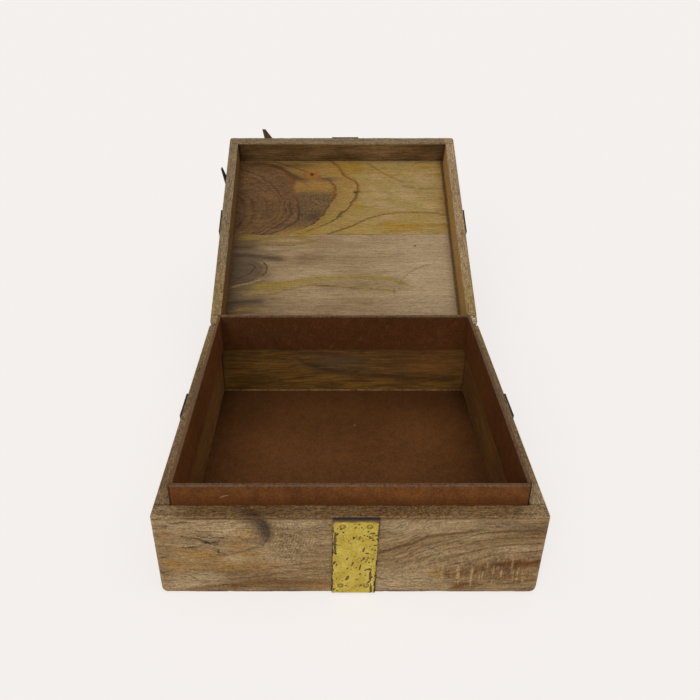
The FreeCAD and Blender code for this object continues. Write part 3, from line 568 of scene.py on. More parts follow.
def board_edges(axes, grain, shade):
    """Painted shade where the boards meet the walls round them, a painted shadow strip along their
    right edge, and a dark joint between the boards.
    """
    x, u, w = axes
    inside = smooth(23.2, 22.8, w)
    # Painted shade along the edges of the boards, where they meet the walls.
    side = smooth(92, 102, abs(x)) * 0.8 + smooth(16, 9, u) + smooth(207, 213, u)
    shade = stain(shade, clamp(side) * inside * 0.45, 70, 52, 30)
    # Painted shadow: a dark strip along the right edge of the boards, for the gap beside the wall.
    painted_gap_shadow = smooth(98.6, 99.6, x + grain.streaks * 3) * inside
    shade = stain(shade, painted_gap_shadow * 0.75, 70, 46, 22)
    shade = stain(shade, bell(u, 116, 0.35) * 0.3, 84, 62, 36)
    return lid_wear(axes, grain, shade)


# The arcs of the front board, from the middle of the heartwood outwards, as (u, x).
ARCS = (
    [(112, -104), (120, -91), (130, -79), (150, -76.6), (165, -85.5), (172, -97), (213, -150)],
    [(112, -92), (122, -80), (130.5, -70.8), (141, -63.4), (158, -62.5), (172, -69.5),
     (181, -81.5), (190, -95), (213, -140)],
    [(112, -73), (118, -64), (128, -48.6), (137, -42.5), (150, -41.2), (160, -43),
     (166, -48), (174, -50), (185, -47), (198, -66), (205, -80), (213, -108)],
    [(112, -66), (117, -54.5), (124, -35.8), (134.7, -21.7), (145, -15.4), (154, -11.4),
     (163, -7.3), (174, -6.5), (183, -10.6), (190, -20.6), (200, -40), (213, -70)],
    [(112, -48), (117, -38.8), (122, -29.5), (132.6, -10.6), (147.5, 3.9), (156, 10.4),
     (167, 13.1), (176, 14.4), (183, 12), (192, 2.5), (199, 0.5), (213, -12)])


def heartwood(x, u, order, grain, shade):
    """Fine dark arcs and paler patches inside the third arc."""
    heart = smooth(3.3, 2.9, order)
    fine = calc("SINE", order * 17 + noise(x / 14, u / 9, 9.1, 3, 0.7) * 6)
    patchy = smooth(-0.2, 0.1, noise(x / 16, u / 12, 6.2, 2))
    shade = stain(shade, smooth(0.4, 1, fine) * heart * patchy * 0.3, 66, 41, 23)
    arcs = total(bell(order, at, 0.045) for at in (0.45, 0.75, 1.05, 1.4, 1.75, 2.1, 2.35))
    shade = stain(shade, arcs * (patchy * 0.45 + 0.2), 60, 36, 20)
    pale = smooth(-0.05, 0.2, noise(x / 18, u / 7, 2.6, 2))
    shade = stain(shade, pale * heart * 0.35, 124, 92, 54)
    return scale(shade, heart * (grain.grit * 1.3 + grain.fibres) + 1)


def outer_bands(x, u, order, jag, grain, shade):
    """Honey, olive and grey between the outer arcs, and the dark lines of the arcs."""
    tan = smooth(-0.04, 0.12, noise(x / 26, u / 9, 8.8, 3, 0.6)) * smooth(5, 40, x)
    shade = stain(shade, tan * 0.75, 164, 136, 96)
    honey = total((blob(x, u, (-8, 203), (26, 6)), blob(x, u, (4, 190), (9, 12)),
                   window(3.05, 3.95, 0.1, order) * window(170, 186, 5, u)))
    shade = stain(shade, honey * 0.65, 146, 108, 50)
    olive = window(4.1, 4.9, 0.15, order) * smooth(152, 130, u)
    shade = stain(shade, olive * 0.5, 130, 105, 42)
    grey = window(3.04, 3.97, 0.06, order) * smooth(174, 165, u + grain.fibres * 12)
    grey = grey * smooth(116, 130, u)
    shade = stain(shade, grey * 0.75, 100, 77, 49)
    speck = smooth(-0.04, 0.12, noise(x / 1.4, u / 1.6, 3.3, 2, 0.7))
    shade = stain(shade, grey * speck * 0.7, 62, 45, 32)
    shade = stain(shade, blob(x + jag * 0.5, u, (-26, 138), (9, 6)) * grey * 0.7, 50, 40, 35)
    ink = mix(smooth(172, 148, u), colour(104, 60, 27), colour(54, 35, 24))
    marks = total((bell(order, 3, 0.06) * (1 - bell(u, 175, 7) * 0.7),
                   bell(order, 4, 0.05),
                   bell(order, 2.6, 0.06) * smooth(164, 152, u) * 0.8,
                   bell(order, 5, 0.04)))
    shade = mix(marks * 0.85, shade, ink)
    place = u + grain.streaks * 12
    shade = stain(shade, blob(x, place, (-52, 206), (30, 4)) * 0.65, 62, 40, 24)
    return stain(shade, blob(x, place, (-14, 187), (12, 2.4)) * 0.75, 84, 64, 50)


def front_board_marks(x, u, jag, grain, shade):
    """Two small knots, the olive streaks and the lines that run to the right."""
    ring = distance(x, u, (-29.7, 193.2), (9, 7)) + noise(x / 5, u / 5, 1, 2) * 0.5
    shade = stain(shade, smooth(1.25, 0.5, ring) * 0.85, 146, 94, 38)
    shade = stain(shade, bell(ring, 0.85, 0.2) * smooth(-0.1, 0.1, jag) * 0.4, 112, 64, 28)
    shade = stain(shade, blob(x, u, (-29.4, 193.6), (1.9, 1.8)), 26, 18, 12)
    shade = stain(shade, blob(x, u, (13.2, 169.6), (1.8, 1.6)), 36, 28, 24)
    shade = stain(shade, blob(x, u, (19, 170), (5, 1)) * 0.4, 90, 80, 64)
    olive = smooth(-0.08, 0.1, noise(x / 34, u / 4, 7.7, 3, 0.6))
    belt = total(blob(x, u, at, size) * amount for at, size, amount in (
        ((56, 126), (50, 12), 1), ((14, 205), (18, 7), 1), ((90, 200), (24, 12), 1),
        ((100, 160), (8, 30), 0.7), ((14, 150), (8, 7), 0.8), ((-22, 118), (26, 4), 1),
        ((46, 196), (14, 8), 0.5)))
    shade = stain(shade, belt * (olive * 0.7 + 0.25), 142, 108, 30)
    smear = vein(x, u + grain.streaks * 8, [
        (-92, 209), (-78, 208), (-64, 204), (-54, 197), (-46, 190), (-36, 185)], 3.2, 8)
    shade = stain(shade, smear * 0.8, 58, 36, 22)
    place = u + grain.fibres * 5
    streak = total(vein(x, place, points, width, fade) * amount
                   for points, width, fade, amount in (
        ([(-19, 114.6), (5.2, 124.3), (27.7, 136.8), (47, 142.2), (67.9, 143.9), (99.7, 140)],
         0.9, 4, 1),
        ([(26.5, 209.6), (46, 192.1), (62, 183)], 1.6, 3, 0.6),
        ([(60, 177), (80, 175), (100, 174)], 1.6, 5, 0.5)))
    ink = mix(smooth(0, 60, x), colour(72, 44, 22), colour(116, 80, 32))
    return mix(streak * 0.85, shade, ink)


def front_board(axes, grain, shade):
    """Nested heartwood arcs at the left, yellow sapwood at the right."""
    x, u, w = axes
    jag = noise(x / 9, u / 4.5, 0.3, 3, 0.7) * 9
    place = x + jag + noise(x / 30, u / 24, 4.1, 1) * 6
    lines = [curve(u, points) for points in ARCS]
    order = clamp((place - lines[0]) / 30 + 1)
    for left, right in zip(lines, lines[1:]):
        order = order + clamp((place - left) / (right - left))
    order = order + clamp((place - lines[-1]) / 60)
    shade = ramp(order / 6, [
        (0, (86, 61, 35)), (0.3, (100, 72, 41)), (0.48, (96, 69, 43)), (0.53, (116, 86, 48)),
        (0.65, (134, 103, 54)), (0.7, (138, 109, 58)), (0.82, (145, 117, 63)),
        (0.86, (148, 122, 69)), (1, (150, 127, 76))])
    shade = heartwood(x, u, order, grain, shade)
    shade = outer_bands(x, u, order, jag, grain, shade)
    shade = front_board_marks(x, u, jag, grain, shade)
    return board_edges(axes, grain, shade)


def tongue(x, u, grain, shade):
    """Nested grey points at the left, where the board cuts past a branch."""
    place = x + noise(x / 8, u / 4, 5.5, 2) * 5 + grain.fibres * 3
    outer = [(54, -104), (55.9, -99.6), (59.1, -90.9), (63.1, -80.9), (70.4, -69.7),
             (76.1, -68.4), (80.2, -70.2), (85.2, -75.7), (86.9, -87.5), (88, -104)]
    inner = [(57, -104), (59.9, -99.9), (64.7, -92.6), (71.2, -82.7), (76.1, -80.1),
             (81.1, -84.6), (82.7, -91.2), (84, -104)]
    middle = [(56, -101), (62, -88), (68, -77), (75.6, -73.6), (81, -77), (84.6, -86),
              (85.4, -100)]
    fill = smooth(-2, 8, curve(u, outer) - place) * window(56, 87, 3, u)
    shade = stain(shade, fill * 0.75, 82, 66, 50)
    lines = total((vein(u, place, outer, 0.7, 2), vein(u, place, inner, 0.8, 2),
                   vein(u, place, middle, 0.4, 2) * 0.6))
    shade = stain(shade, lines * 0.9, 48, 36, 28)
    band = total(vein(x, u + grain.streaks * sway, points, width, fade) * amount
                 for sway, points, width, fade, amount in (
        (8, [(-104, 91.4), (-90, 91), (-74.6, 89.4), (-52, 86)], 3.6, 8, 1),
        (6, [(-104, 99.6), (-92, 100.2), (-80, 100.4)], 1.2, 4, 0.8),
        (6, [(-104, 36), (-84.5, 38.7), (-70, 40.2)], 2.8, 6, 1)))
    pale = vein(x, u + grain.fibres * 4, [(-100, 55), (-84, 59), (-72, 64)], 0.7)
    shade = stain(shade, pale * 0.6, 160, 140, 110)
    return stain(shade, band * 0.85, 64, 50, 38)


def back_board(axes, grain, shade):
    """Pale pinkish board, darker at the left, with a golden wave."""
    x, u, w = axes
    left = smooth(-44, -98, x + noise(x / 30, u / 7, 2.2, 2) * 60)
    shade = stain(shade, left * 0.9, 86, 67, 42)
    shade = stain(shade, smooth(10, 80, x) * 0.55, 170, 149, 118)
    shade = tongue(x, u, grain, shade)
    upper = [(-78, 57), (-60.1, 59.1), (-47.4, 60.7), (-34.6, 63.9), (-21.8, 65.9),
             (-8.9, 66.3), (20.8, 65.9), (40.1, 64.2), (50.2, 60.7), (61.4, 55.9)]
    lower = [(-88, 48), (-67.2, 46.8), (-52.2, 51.2), (-40.8, 54.3), (-24.2, 57),
             (-8.9, 55.9), (20.4, 52.8), (34.4, 52), (46, 49)]
    wave = smooth(0, 3, u - curve(x, lower)) * smooth(1, -2, u - curve(x, upper))
    wave = wave * window(-80, 56, 8, x) * (smooth(10, -40, x) * 0.35 + 0.4)
    wave = wave * smooth(-0.3, 0.05, grain.cloud + grain.streaks)
    soft, crisp = u + grain.streaks * 7, u + grain.fibres * 4
    gold = total((
        vein(x, soft, upper, 1.8, 8), vein(x, soft, lower, 1.2, 8) * 0.8, wave,
        vein(x, soft, [(-98, 113.4), (-75.7, 111.7), (-65.1, 113.4), (-49, 112.5),
                       (-30, 111)], 2.6, 8),
        vein(x, soft, [(-78, 105.4), (-64.8, 105.9), (-43.4, 105.2), (-32.8, 106.5),
                       (-20, 111)], 1.6, 6),
        vein(x, soft, [(-96, 28), (-80.3, 31.4), (-66, 29.5)], 1.6, 6) * 0.7))
    tint = mix(smooth(90, 104, u), colour(136, 112, 46), colour(124, 98, 34))
    shade = mix(gold * 0.8, shade, tint)
    dark = total((
        vein(x, crisp, lower, 0.5, 6) * 0.6,
        vein(x, crisp, [(-24, 56.8), (-14, 55.9), (-5, 56.8)], 0.9, 2),
        vein(x, crisp, [(-74, 103.4), (-60, 103), (-44, 102.6)], 0.8),
        vein(x, crisp, [(51, 61), (52.9, 63.1), (58.4, 69.6), (66.5, 75.3), (82, 81)],
             0.5, 2) * 0.8,
        blob(x, u, (45.4, 50), (1.2, 4)) * 0.6, blob(x, u, (52, 59), (4, 2.4)) * 0.5))
    shade = stain(shade, dark * 0.75, 90, 68, 38)
    shade = stain(shade, blob(x, u, (67.2, 102.3), (0.9, 0.9)), 58, 40, 26)
    return board_edges(axes, grain, shade)


# ---- hardboard and metal

def hardboard(name, seed, low, middle, high, floor=False):
    """Pressed board: a strip with a dusty top, or the floor with painted shade at its back and
    sides.
    """
    material = start(name)
    x, y, z = base_place(material)
    uneven = 0.25 if floor else 0.5
    cloud = noise(x / 80 + seed, y / 80, z / 60, 2)
    mottle = noise(x / 7 + seed, y / 7, z / 7, 3, 0.6)
    fuzz = noise(x / 1.2 + seed, y / 1.2, z / 1.2, 2, 0.7)
    hairs = smooth(0.12, 0.22, noise(x / 2.2, y / 6 + seed, z / 4.0, 2))
    shade = ramp(cloud + mottle * (uneven * 1.2) + 0.5, [(0.1, low), (0.5, middle), (0.9, high)])
    shade = scale(shade, fuzz * 1.4 + mottle * uneven + 1.0)
    shade = stain(shade, hairs * 0.2, 116, 78, 44)
    if floor:
        # Painted shade: the floor darkens towards the back and towards the side walls.
        corners = smooth(10.0, 100.0, y) * 0.48 + smooth(84.0, 104.0, abs(x)) * 0.3
        shade = stain(shade, clamp(corners), 36, 18, 6)
        dust = bell(y, 100.0, 1.0) * (fuzz * 2.0 + mottle * 2.4 + 0.55)
        shade = stain(shade, clamp(dust) * 0.85, 176, 146, 106)
        shade = stain(shade, blob(x, y, (8, 50), (0.8, 0.8)) * 0.7, 140, 112, 84)
    else:
        front = smooth(-98.0, -99.5, y)
        shade = stain(shade, front * smooth(68.0, 60.5, z) * 0.4, 62, 34, 14)
        scratch = vein(x, z, [(-72.4, 65), (-70, 66.4), (-67.4, 67)], 0.35, 1.0) * front
        shade = stain(shade, scratch * (fuzz + 0.7), 164, 122, 80)
        gap = smooth(99.0, 99.6, x) + smooth(-99.2, -99.8, x) * 0.6
        shade = stain(shade, smooth(-97.4, -98.1, y) * gap, 18, 11, 6)
        rim = smooth(72.9, 73.7, z + fuzz * 2.0)
        shade = stain(shade, clamp(rim * (fuzz * 3.0 + mottle + 0.6)), 104, 84, 66)
    return end(material, shade, cloud * 0.2 + 0.6, fuzz + mottle * 0.4, depth=0.00015, gloss=0.08)


def gilt(name, place, faces=(), run=None, ends=None, core=None, tacks=(), scars=(), rusty=False):
    """Gilding over brown metal: bare on the edges and the back, chipped and scratched. Where not
    rusty, the bare metal is near black, partly as painted shadow along the cut edges.

    It is on the side that looks in the directions of faces, or away from the point core. On
    a strap, run gives the place across and along, and ends where the gilding wears off.
    """
    material = start(name)
    axes = place(material)
    x, y, z = axes
    fine = noise(x / 1.5, y / 1.5, z / 1.5, 2)
    point, look = surface(material)
    if core:
        off = field(look.tree, "VectorMath", {0: point, 1: core}, operation="SUBTRACT")
        shown = smooth(0.0, 0.004, dot(look, off))
    else:
        shown = reduce(lambda a, b: calc("MAXIMUM", a, b), [dot(look, way) for way in faces])
    bare = smooth(0.6, 0.4, shown)
    side, length = [part(axes) for part in run] if run else (y, x + z * 0.5)
    turn, cross = length * 0.94 + side * 0.34, length * -0.34 + side * 0.94
    crowd = noise(x / 13, y / 13, z / 13, 1) * 0.9 - (0.16 if scars else 0.07)
    if run:
        crowd = crowd + smooth(-9.0, 9.0, side) * 0.12 - 0.06
    jag = noise(turn / 1.1, cross / 0.9, 5.0, 3, 0.7)
    flake = flecks((turn + jag * 4.2) / 4.2, (cross + jag * 2.8) / 2.1, 0.4) + crowd
    speck = flecks((turn + jag) / 1.7, (cross + jag) / 1.3 + 7.3, 0.22) + crowd * 0.5
    chips = smooth(0.0, 0.07, flake) + smooth(0.0, 0.1, speck)
    heart = smooth(0.16, 0.26, flake)
    if run:
        ragged = noise(x / 2.2, y / 2.2, z / 2.2, 3, 0.7) + noise(x / 8, y / 8, z / 8, 1) * 0.8
        chips = chips + smooth(12.0, 12.7, abs(side) + ragged * 3.0)
    if ends:
        worn = smooth(*ends, length + noise(side / 5, length / 1.5, 1.0, 2) * 4)
        chips = chips + worn
        heart = heart + worn * 0.8
        bare = clamp(bare + smooth(ends[1] + 0.3, ends[1] + 0.8, length + fine))
    if scars:
        scar = jag * 0.9 + reduce(operator.add, [
            blob(side - across - (length - up) * slant, length, (0.0, up), (wide, tall))
            for across, up, wide, tall, slant in scars])
        chips = chips + smooth(0.4, 0.62, scar)
        heart = heart + smooth(0.6, 0.9, scar)
    for at in tacks:
        chips = chips + bell(distance(side, length, at) + fine * 0.5, 1.5, 0.28) * 0.9
    chips = clamp(chips)
    cloud = noise(x / 8, y / 8, z / 8, 3)
    gold = ramp(cloud + fine * 0.8 + 0.5, [
        (0.1, (140, 114, 34)), (0.45, (177, 153, 57)), (0.9, (199, 180, 86))])
    gold = scale(gold, noise(side / 0.5, length / 0.7, 2.2, 2, 0.7) * 0.5 + 1.0)
    rust = mix(clamp(heart + fine * 1.5), colour(40, 26, 16), colour(108, 76, 40))
    shade = mix(chips, gold, rust)
    # Painted shadow: where not rusty, the bare metal is near black, which also stands for the
    # shadow along the strap's cut edges; the rusty kind is the brown underside.
    dark, light = ((36, 22, 12), (96, 64, 36)) if rusty else ((14, 13, 16), (48, 38, 32))
    back = mix(clamp(fine * 2.0 + 0.5), colour(*dark), colour(*light))
    shade = mix(bare, shade, back)
    bare = clamp(bare + chips)
    rough = cloud * 0.3 + 0.5 + bare * 0.25
    return end(material, shade, rough, cloud * 0.4 + fine * 0.2 - bare * 0.8,
               depth=0.0003, gloss=0.3, metal=0.4 - bare * 0.38)


def metal(name, place, low, high, size, rough):
    """Brushed metal, clouded in patches of a size."""
    material = start(name)
    x, y, z = place(material)
    cloud = noise(x / size, y / size, z / size, 4, 0.6)
    brush = noise(x / 3, y / 0.4, z / 0.4, 2)
    shade = ramp(cloud + brush * 0.4 + 0.5, [(0.25, low), (0.75, high)])
    return end(material, shade, cloud * 0.5 + rough, brush + cloud,
               depth=0.00008, gloss=0.5, metal=0.85)


# ---- what wears what

def dress(node, material):
    for slot in nodes[node].material_slots:
        slot.material = material


ALONG_X, ALONG_Y, FLAT = (0, 2, 1), (1, 2, 0), (0, 1, 2)
TAN = ((0.05, (98, 74, 46)), (0.3, (120, 95, 62)), (0.55, (138, 113, 78)),
       (0.8, (150, 126, 92)), (1.0, (156, 134, 102)))
GREY = ((0.05, (98, 76, 50)), (0.4, (122, 100, 70)), (0.7, (138, 117, 88)),
        (1.0, (150, 131, 104)))
BLUSH = ((0.05, (116, 92, 64)), (0.35, (138, 113, 82)), (0.65, (150, 126, 94)),
         (1.0, (160, 138, 108)))

dress("base_front_wall", wood(
    "front_wood", base_place, ALONG_X, 3.1, TAN, front_figure, front_bend, 0.5, 1.3))
dress("base_back_wall", wood(
    "back_wood", base_place, ALONG_X, 17.3, TAN, back_figure, crisp=0.6))
for side, seed in (("left", 29.7), ("right", 41.9)):
    dress(f"base_{side}_wall", wood(f"{side}_wood", base_place, ALONG_Y, seed, TAN, base_wall))
for side, turn, seed in (("front", ALONG_X, 53.2), ("back", ALONG_X, 67.8),
                         ("left", ALONG_Y, 71.4), ("right", ALONG_Y, 83.6)):
    dress(f"lid_{side}_wall", wood(f"lid_{side}_wood", lid_place, turn, seed, GREY, lid_rim))
dress("lid_front_board", wood(
    "front_board_wood", lid_place, FLAT, 91.5, TAN, front_board, crisp=0.75))
dress("lid_back_board", wood(
    "back_board_wood", lid_place, FLAT, 107.1, BLUSH, back_board, crisp=0.7))

# The four liners are one hardboard; their different tones are painted light and shade, the back
# one darkest and the left one palest.
for side, seed, low, middle, high in (
        ("front", 0.0, (74, 41, 16), (94, 56, 25), (110, 67, 31)),
        ("back", 5.3, (60, 32, 12), (72, 40, 16), (84, 48, 20)),
        ("left", 10.6, (96, 57, 27), (117, 70, 34), (133, 82, 41)),
        ("right", 15.9, (84, 48, 22), (102, 60, 29), (118, 72, 36))):
    dress(f"liner_{side}", hardboard(f"liner_{side}_board", seed, low, middle, high))
dress("base_floor", hardboard(
    "floor_board", 31.0, (84, 50, 24), (103, 64, 32), (120, 76, 38), floor=True))

FRONT, BACK, LEFT, RIGHT = (0, -1, 0), (0, 1, 0), (-1, 0, 0), (1, 0, 0)
AWAY = tuple(-part for part in OUT)
STRAP_END = (56.0, 57.8)
BASE_TACKS = [(side, up) for side in (-7.5, 7.5) for up in (7.0, 53.5)]
# Scars in the front strap: across, up, half width, half height and slant.
SCARS = (
    (-11.4, 44, 0.9, 7, 0.0), (-11.2, 35, 0.8, 3, 0.0), (9.6, 15, 0.9, 5, -0.05),
    (10.4, 4, 0.8, 4, -0.05), (4.9, 36, 0.7, 2.4, 0.25), (6.9, 33.2, 1.4, 0.7, 0.0),
    (5.2, 29, 0.8, 1.6, 0.2), (7.2, 28, 0.6, 0.8, 0.0), (2.2, 45, 0.5, 1.8, 0.3),
    (9.4, 48.6, 1.8, 0.7, 0.0), (11.8, 47, 1.6, 0.6, 0.0), (11.4, 39.6, 1.5, 0.6, 0.0),
    (8.6, 45, 1.3, 0.6, 0.0), (-1.2, 24.4, 0.6, 1.8, 0.5), (-3.9, 21, 0.5, 0.9, 0.3),
    (3.4, 22, 0.6, 2.6, 0.1), (-3.6, 13.4, 1.0, 2.4, 0.3), (-10.2, 24, 0.5, 1.6, 0.1),
    (-4.2, 29, 0.5, 1.6, 0.3), (8.4, 26, 0.6, 0.8, 0.0), (3.6, 16.5, 0.9, 0.7, 0.0),
    (-12.4, 9, 0.9, 5, 0.0), (-12.6, 20, 0.7, 3, 0.0), (8.4, 20.5, 1.6, 0.8, 0.0))
# How far a place on a strap is from its middle line, and how far along; the front one leans.
FRONT_RUN = (lambda a: a[0] - 2.28 - a[2] * 0.0205, lambda a: a[2])
BACK_RUN = (lambda a: a[0] - 3.5, lambda a: a[2])
SIDE_RUN = (lambda a: a[1] + 2.0, lambda a: a[2])
LENGTHWISE_RUN = (lambda a: a[0] - 3.5, lambda a: a[1] + a[2])
CROSSWISE_RUN = (lambda a: a[1] - 113.0, lambda a: a[0] + a[2])

dress("base_front_strap", gilt(
    "gilt_front", base_place, [FRONT], FRONT_RUN, STRAP_END, tacks=BASE_TACKS, scars=SCARS))
dress("base_back_strap", gilt("gilt_back", base_place, [BACK], BACK_RUN))
side_gilt = gilt("gilt_side", base_place, [LEFT, RIGHT], SIDE_RUN, STRAP_END, tacks=BASE_TACKS)
dress("base_left_strap", side_gilt)
dress("base_right_strap", side_gilt)
dress("lid_lengthwise_strap", gilt(
    "gilt_lengthwise", lid_place, [UP, OUT, AWAY], LENGTHWISE_RUN))
dress("lid_crosswise_strap", gilt(
    "gilt_crosswise", lid_place, [UP, LEFT, RIGHT], CROSSWISE_RUN))
dress("bow_knot", gilt("gilt_knot", lid_place, [UP]))
dress("bow_front_tail", gilt("gilt_front_tail", lid_place, [UP, OUT], rusty=True))
dress("bow_left_tail", gilt("gilt_left_tail", lid_place, [UP, LEFT]))
for name in ("bow_left_loop", "bow_right_loop"):
    low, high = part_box(name)
    middle = tuple((a + b) / 2 for a, b in zip(low, high))
    dress(name, gilt("gilt_" + name, lid_place, core=middle))

for body, place in (("base", base_place), ("lid", lid_place)):
    brass = metal("hinge_brass_" + body, place, (120, 88, 40), (190, 150, 80), 4.0, 0.4)
    steel = metal("steel_" + body, place, (70, 64, 58), (150, 146, 140), 1.5, 0.45)
    tacks = metal("gilt_tacks_" + body, place, (108, 84, 34), (186, 160, 72), 1.2, 0.5)
    dress(f"{body}_strap_tacks", tacks)
    dress(f"{body}_hinge_screws", steel)
    for side in ("left", "right"):
        dress(f"{side}_hinge_{body}_leaf", brass)
    if body == "base":
        for name in ("left_hinge_pin", "right_hinge_pin", "floor_brads"):
            dress(name, steel)


# ---- worn edges

BASE_WAYS = Vector((1, 0, 0)), Vector((0, 1, 0)), Vector((0, 0, 1))
LID_WAYS = Vector((1, 0, 0)), Vector(OUT), Vector(UP)
HINGE = Vector((0.0, HINGE_Y / 1000, HINGE_Z / 1000))
SHARP = math.radians(40)
# A point within EDGE metres of two faces is on an edge, unless it looks LEVEL along an axis.
EDGE, LEVEL = 0.0041, 0.985
# A strap is torn past HALF_STRAP millimetres from its middle line, and dented elsewhere.
HALF_STRAP, DENT = 12.7, 0.00012


def put(name, data):
    """A new object in the scene."""
    item = bpy.data.objects.new(name, data)
    scene.collection.objects.link(item)
    return item


def cut_up(name, ways, steps):
    """A welded copy of a node, cut every few millimetres so that it has points to move."""
    shape = bmesh.new()
    shape.from_mesh(nodes[name].data)
    bmesh.ops.remove_doubles(shape, verts=shape.verts, dist=2e-6)
    for way, step in zip(ways, steps):
        if not step:
            continue
        reach = [vert.co.dot(way) for vert in shape.verts]
        low, high = min(reach), max(reach)
        count = int((high - low) * 1000 / step)
        for i in range(1, count + 1):
            # Uneven fractions keep the cuts off the points that are there already.
            at = low + (high - low) * (i - 0.37) / (count + 0.41)
            bmesh.ops.bisect_plane(shape, geom=shape.verts[:] + shape.edges[:] + shape.faces[:],
                                   plane_co=way * at, plane_no=way)
    bmesh.ops.dissolve_degenerate(shape, dist=3e-6, edges=shape.edges[:])
    shape.normal_update()
    shape.verts.index_update()
    return shape


def ways_of(name):
    return LID_WAYS if name.startswith("lid") else BASE_WAYS


def stand_in(name, shape, moves):
    """Move the points of a copy, and show it in the place of its node."""
    for vert, move in moves:
        vert.co += move
    mesh = bpy.data.meshes.new("worn_" + name)
    mesh.from_pydata([vert.co for vert in shape.verts], [],
                     [[vert.index for vert in face.verts] for face in shape.faces])
    shape.free()
    mesh.polygons.foreach_set("use_smooth", [True] * len(mesh.polygons))
    mesh.set_sharp_from_angle(angle=SHARP)
    mesh.materials.append(nodes[name].material_slots[0].material)
    piece = put("worn_" + name, mesh)
    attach(piece, "lid" if name.startswith("lid") else "base")
    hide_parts(name)


def rub(name, steps, depth):
    """Uneven wear along the edges of a board, depth metres deep."""
    ways = ways_of(name)
    shape = cut_up(name, ways, steps)
    reach = [[vert.co.dot(way) for vert in shape.verts] for way in ways]
    ends = [(min(values), max(values)) for values in reach]
    moves = []
    for vert in shape.verts:
        gaps = sorted(min(vert.co.dot(way) - low, high - vert.co.dot(way))
                      for way, (low, high) in zip(ways, ends))
        if gaps[1] > EDGE or max(abs(vert.normal.dot(way)) for way in ways) > LEVEL:
            continue
        place = vert.co * 1000
        wear = wander(place * 0.07) * 0.7 + wander(place * 0.31) * 0.5 + 0.12
        moves.append((vert, vert.normal * (-depth * max(0.0, wear))))
    stand_in(name, shape, moves)


def tear(name, steps, run, side_axis):
    """Torn edges and shallow dents in a ribbon."""
    ways = ways_of(name)
    side_way = ways[side_axis]
    shape = cut_up(name, ways, steps)
    origin, middle = Vector(), Vector((0, 0, 0.03))
    if ways is LID_WAYS:
        origin, middle = HINGE, HINGE + ways[1] * 0.111
    moves = []
    for vert in shape.verts:
        axes = [(vert.co - origin).dot(way) * 1000 for way in ways]
        side, length = [part(axes) for part in run]
        if abs(side) > HALF_STRAP:
            tooth = Vector((length * 0.55, side, 0.5))
            torn = wander(tooth) * 0.35 + max(0.0, wander(tooth * 0.33) - 0.25) * 1.6 + 0.12
            moves.append((vert, side_way * (math.copysign(max(0.0, torn), -side) / 1000)))
        elif abs(vert.normal.dot(side_way)) < 0.2 and vert.normal.dot(vert.co - middle) > 0.0:
            dent = wander(vert.co * 1000 * 0.12) * 0.5 + 0.5
            moves.append((vert, vert.normal * (-DENT * dent)))
    stand_in(name, shape, moves)


for name in ("front", "back"):
    rub(f"base_{name}_wall", (2.4, 0, 3.4), 0.0006)
    rub(f"lid_{name}_wall", (2.4, 0, 3.4), 0.0005)
    rub(f"lid_{name}_board", (3.2, 3.2, 0), 0.0007)
for name in ("left", "right"):
    rub(f"base_{name}_wall", (0, 2.4, 3.4), 0.0006)
    rub(f"lid_{name}_wall", (0, 2.4, 3.4), 0.0005)
    tear(f"base_{name}_strap", (0, 5.0, 1.1), SIDE_RUN, 1)
tear("base_front_strap", (5.0, 0, 1.1), FRONT_RUN, 0)
tear("base_back_strap", (5.0, 0, 1.1), BACK_RUN, 0)
tear("lid_lengthwise_strap", (6.0, 1.7, 1.7), LENGTHWISE_RUN, 0)
tear("lid_crosswise_strap", (1.7, 6.0, 1.7), CROSSWISE_RUN, 1)


# ---- floor, light, camera

scene.view_settings.view_transform = "Standard"
PAPER = colour(243, 239, 236)
FLOOR_RADIUS, FLOOR_SIDES, FLOOR_DROP, FLOOR_GLOW = 40, 96, 0.0002, 0.68


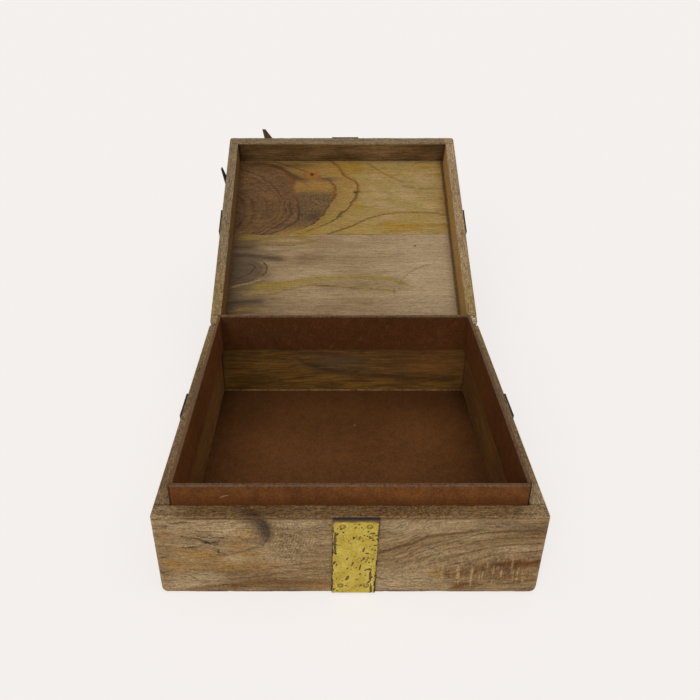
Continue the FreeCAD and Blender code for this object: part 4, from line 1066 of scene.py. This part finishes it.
def lamp(name, elevation, azimuth, strength, size):
    """A broad lamp from a direction; azimuth 0 is in front, 90 at the right."""
    light = bpy.data.lights.new(name, "SUN")
    light.energy = strength * math.pi
    light.angle = math.radians(size)
    turn = (math.radians(90 - elevation), 0.0, math.radians(azimuth))
    put(name, light).rotation_euler = turn


def seen(tree):
    """1 for what is seen, also in a mirror or through glass, and else 0."""
    path = add(tree, "LightPath", {})
    rays = ("Is Camera Ray", "Is Glossy Ray", "Is Transmission Ray")
    return total(Field(path.outputs[ray]) for ray in rays)


def blend(tree, amount, first, second, output):
    """Two shaders mixed, the second by an amount, as the output of a tree."""
    both = add(tree, "MixShader", {0: amount})
    tree.links.new(first.outputs[0], both.inputs[1])
    tree.links.new(second.outputs[0], both.inputs[2])
    tree.links.new(both.outputs[0], add(tree, output, {}).inputs[0])


lamp("key", 30, -10, 0.56, 50)
lamp("top", 72, 15, 0.22, 80)

world = bpy.data.worlds.new("studio")
scene.world = world
world.use_nodes = True
tree = world.node_tree
tree.nodes.clear()
fill = add(tree, "Background", {0: (1.0, 0.985, 0.965, 1.0), 1: 0.26})
paper = add(tree, "Background", {0: PAPER, 1: 1.0})
blend(tree, seen(tree), fill, paper, "OutputWorld")

mesh = bpy.data.meshes.new("floor")
turns = [math.tau * i / FLOOR_SIDES for i in range(FLOOR_SIDES)]
mesh.from_pydata([(math.cos(a) * FLOOR_RADIUS, math.sin(a) * FLOOR_RADIUS, -FLOOR_DROP)
                  for a in turns], [], [range(FLOOR_SIDES)])
ground = put("floor", mesh)
paint = start("floor_paper")
tree = paint.node_tree
matt = add(tree, "BsdfDiffuse", {0: (0.95, 0.925, 0.905, 1.0)})
glow = add(tree, "Emission", {0: (1.0, 0.962, 0.936, 1.0), 1: 1.0})
blend(tree, seen(tree) * FLOOR_GLOW, matt, glow, "OutputMaterial")
mesh.materials.append(paint)

view = bpy.data.cameras.new("camera")
view.sensor_width = 36.0
view.lens = 36.107
view.shift_x = 0.027
view.shift_y = -0.0085
camera = put("camera", view)
camera.location = (-0.01046, -0.39544, 0.33431)
camera.rotation_euler = (math.radians(59.96), 0.0, 0.0)
scene.camera = camera
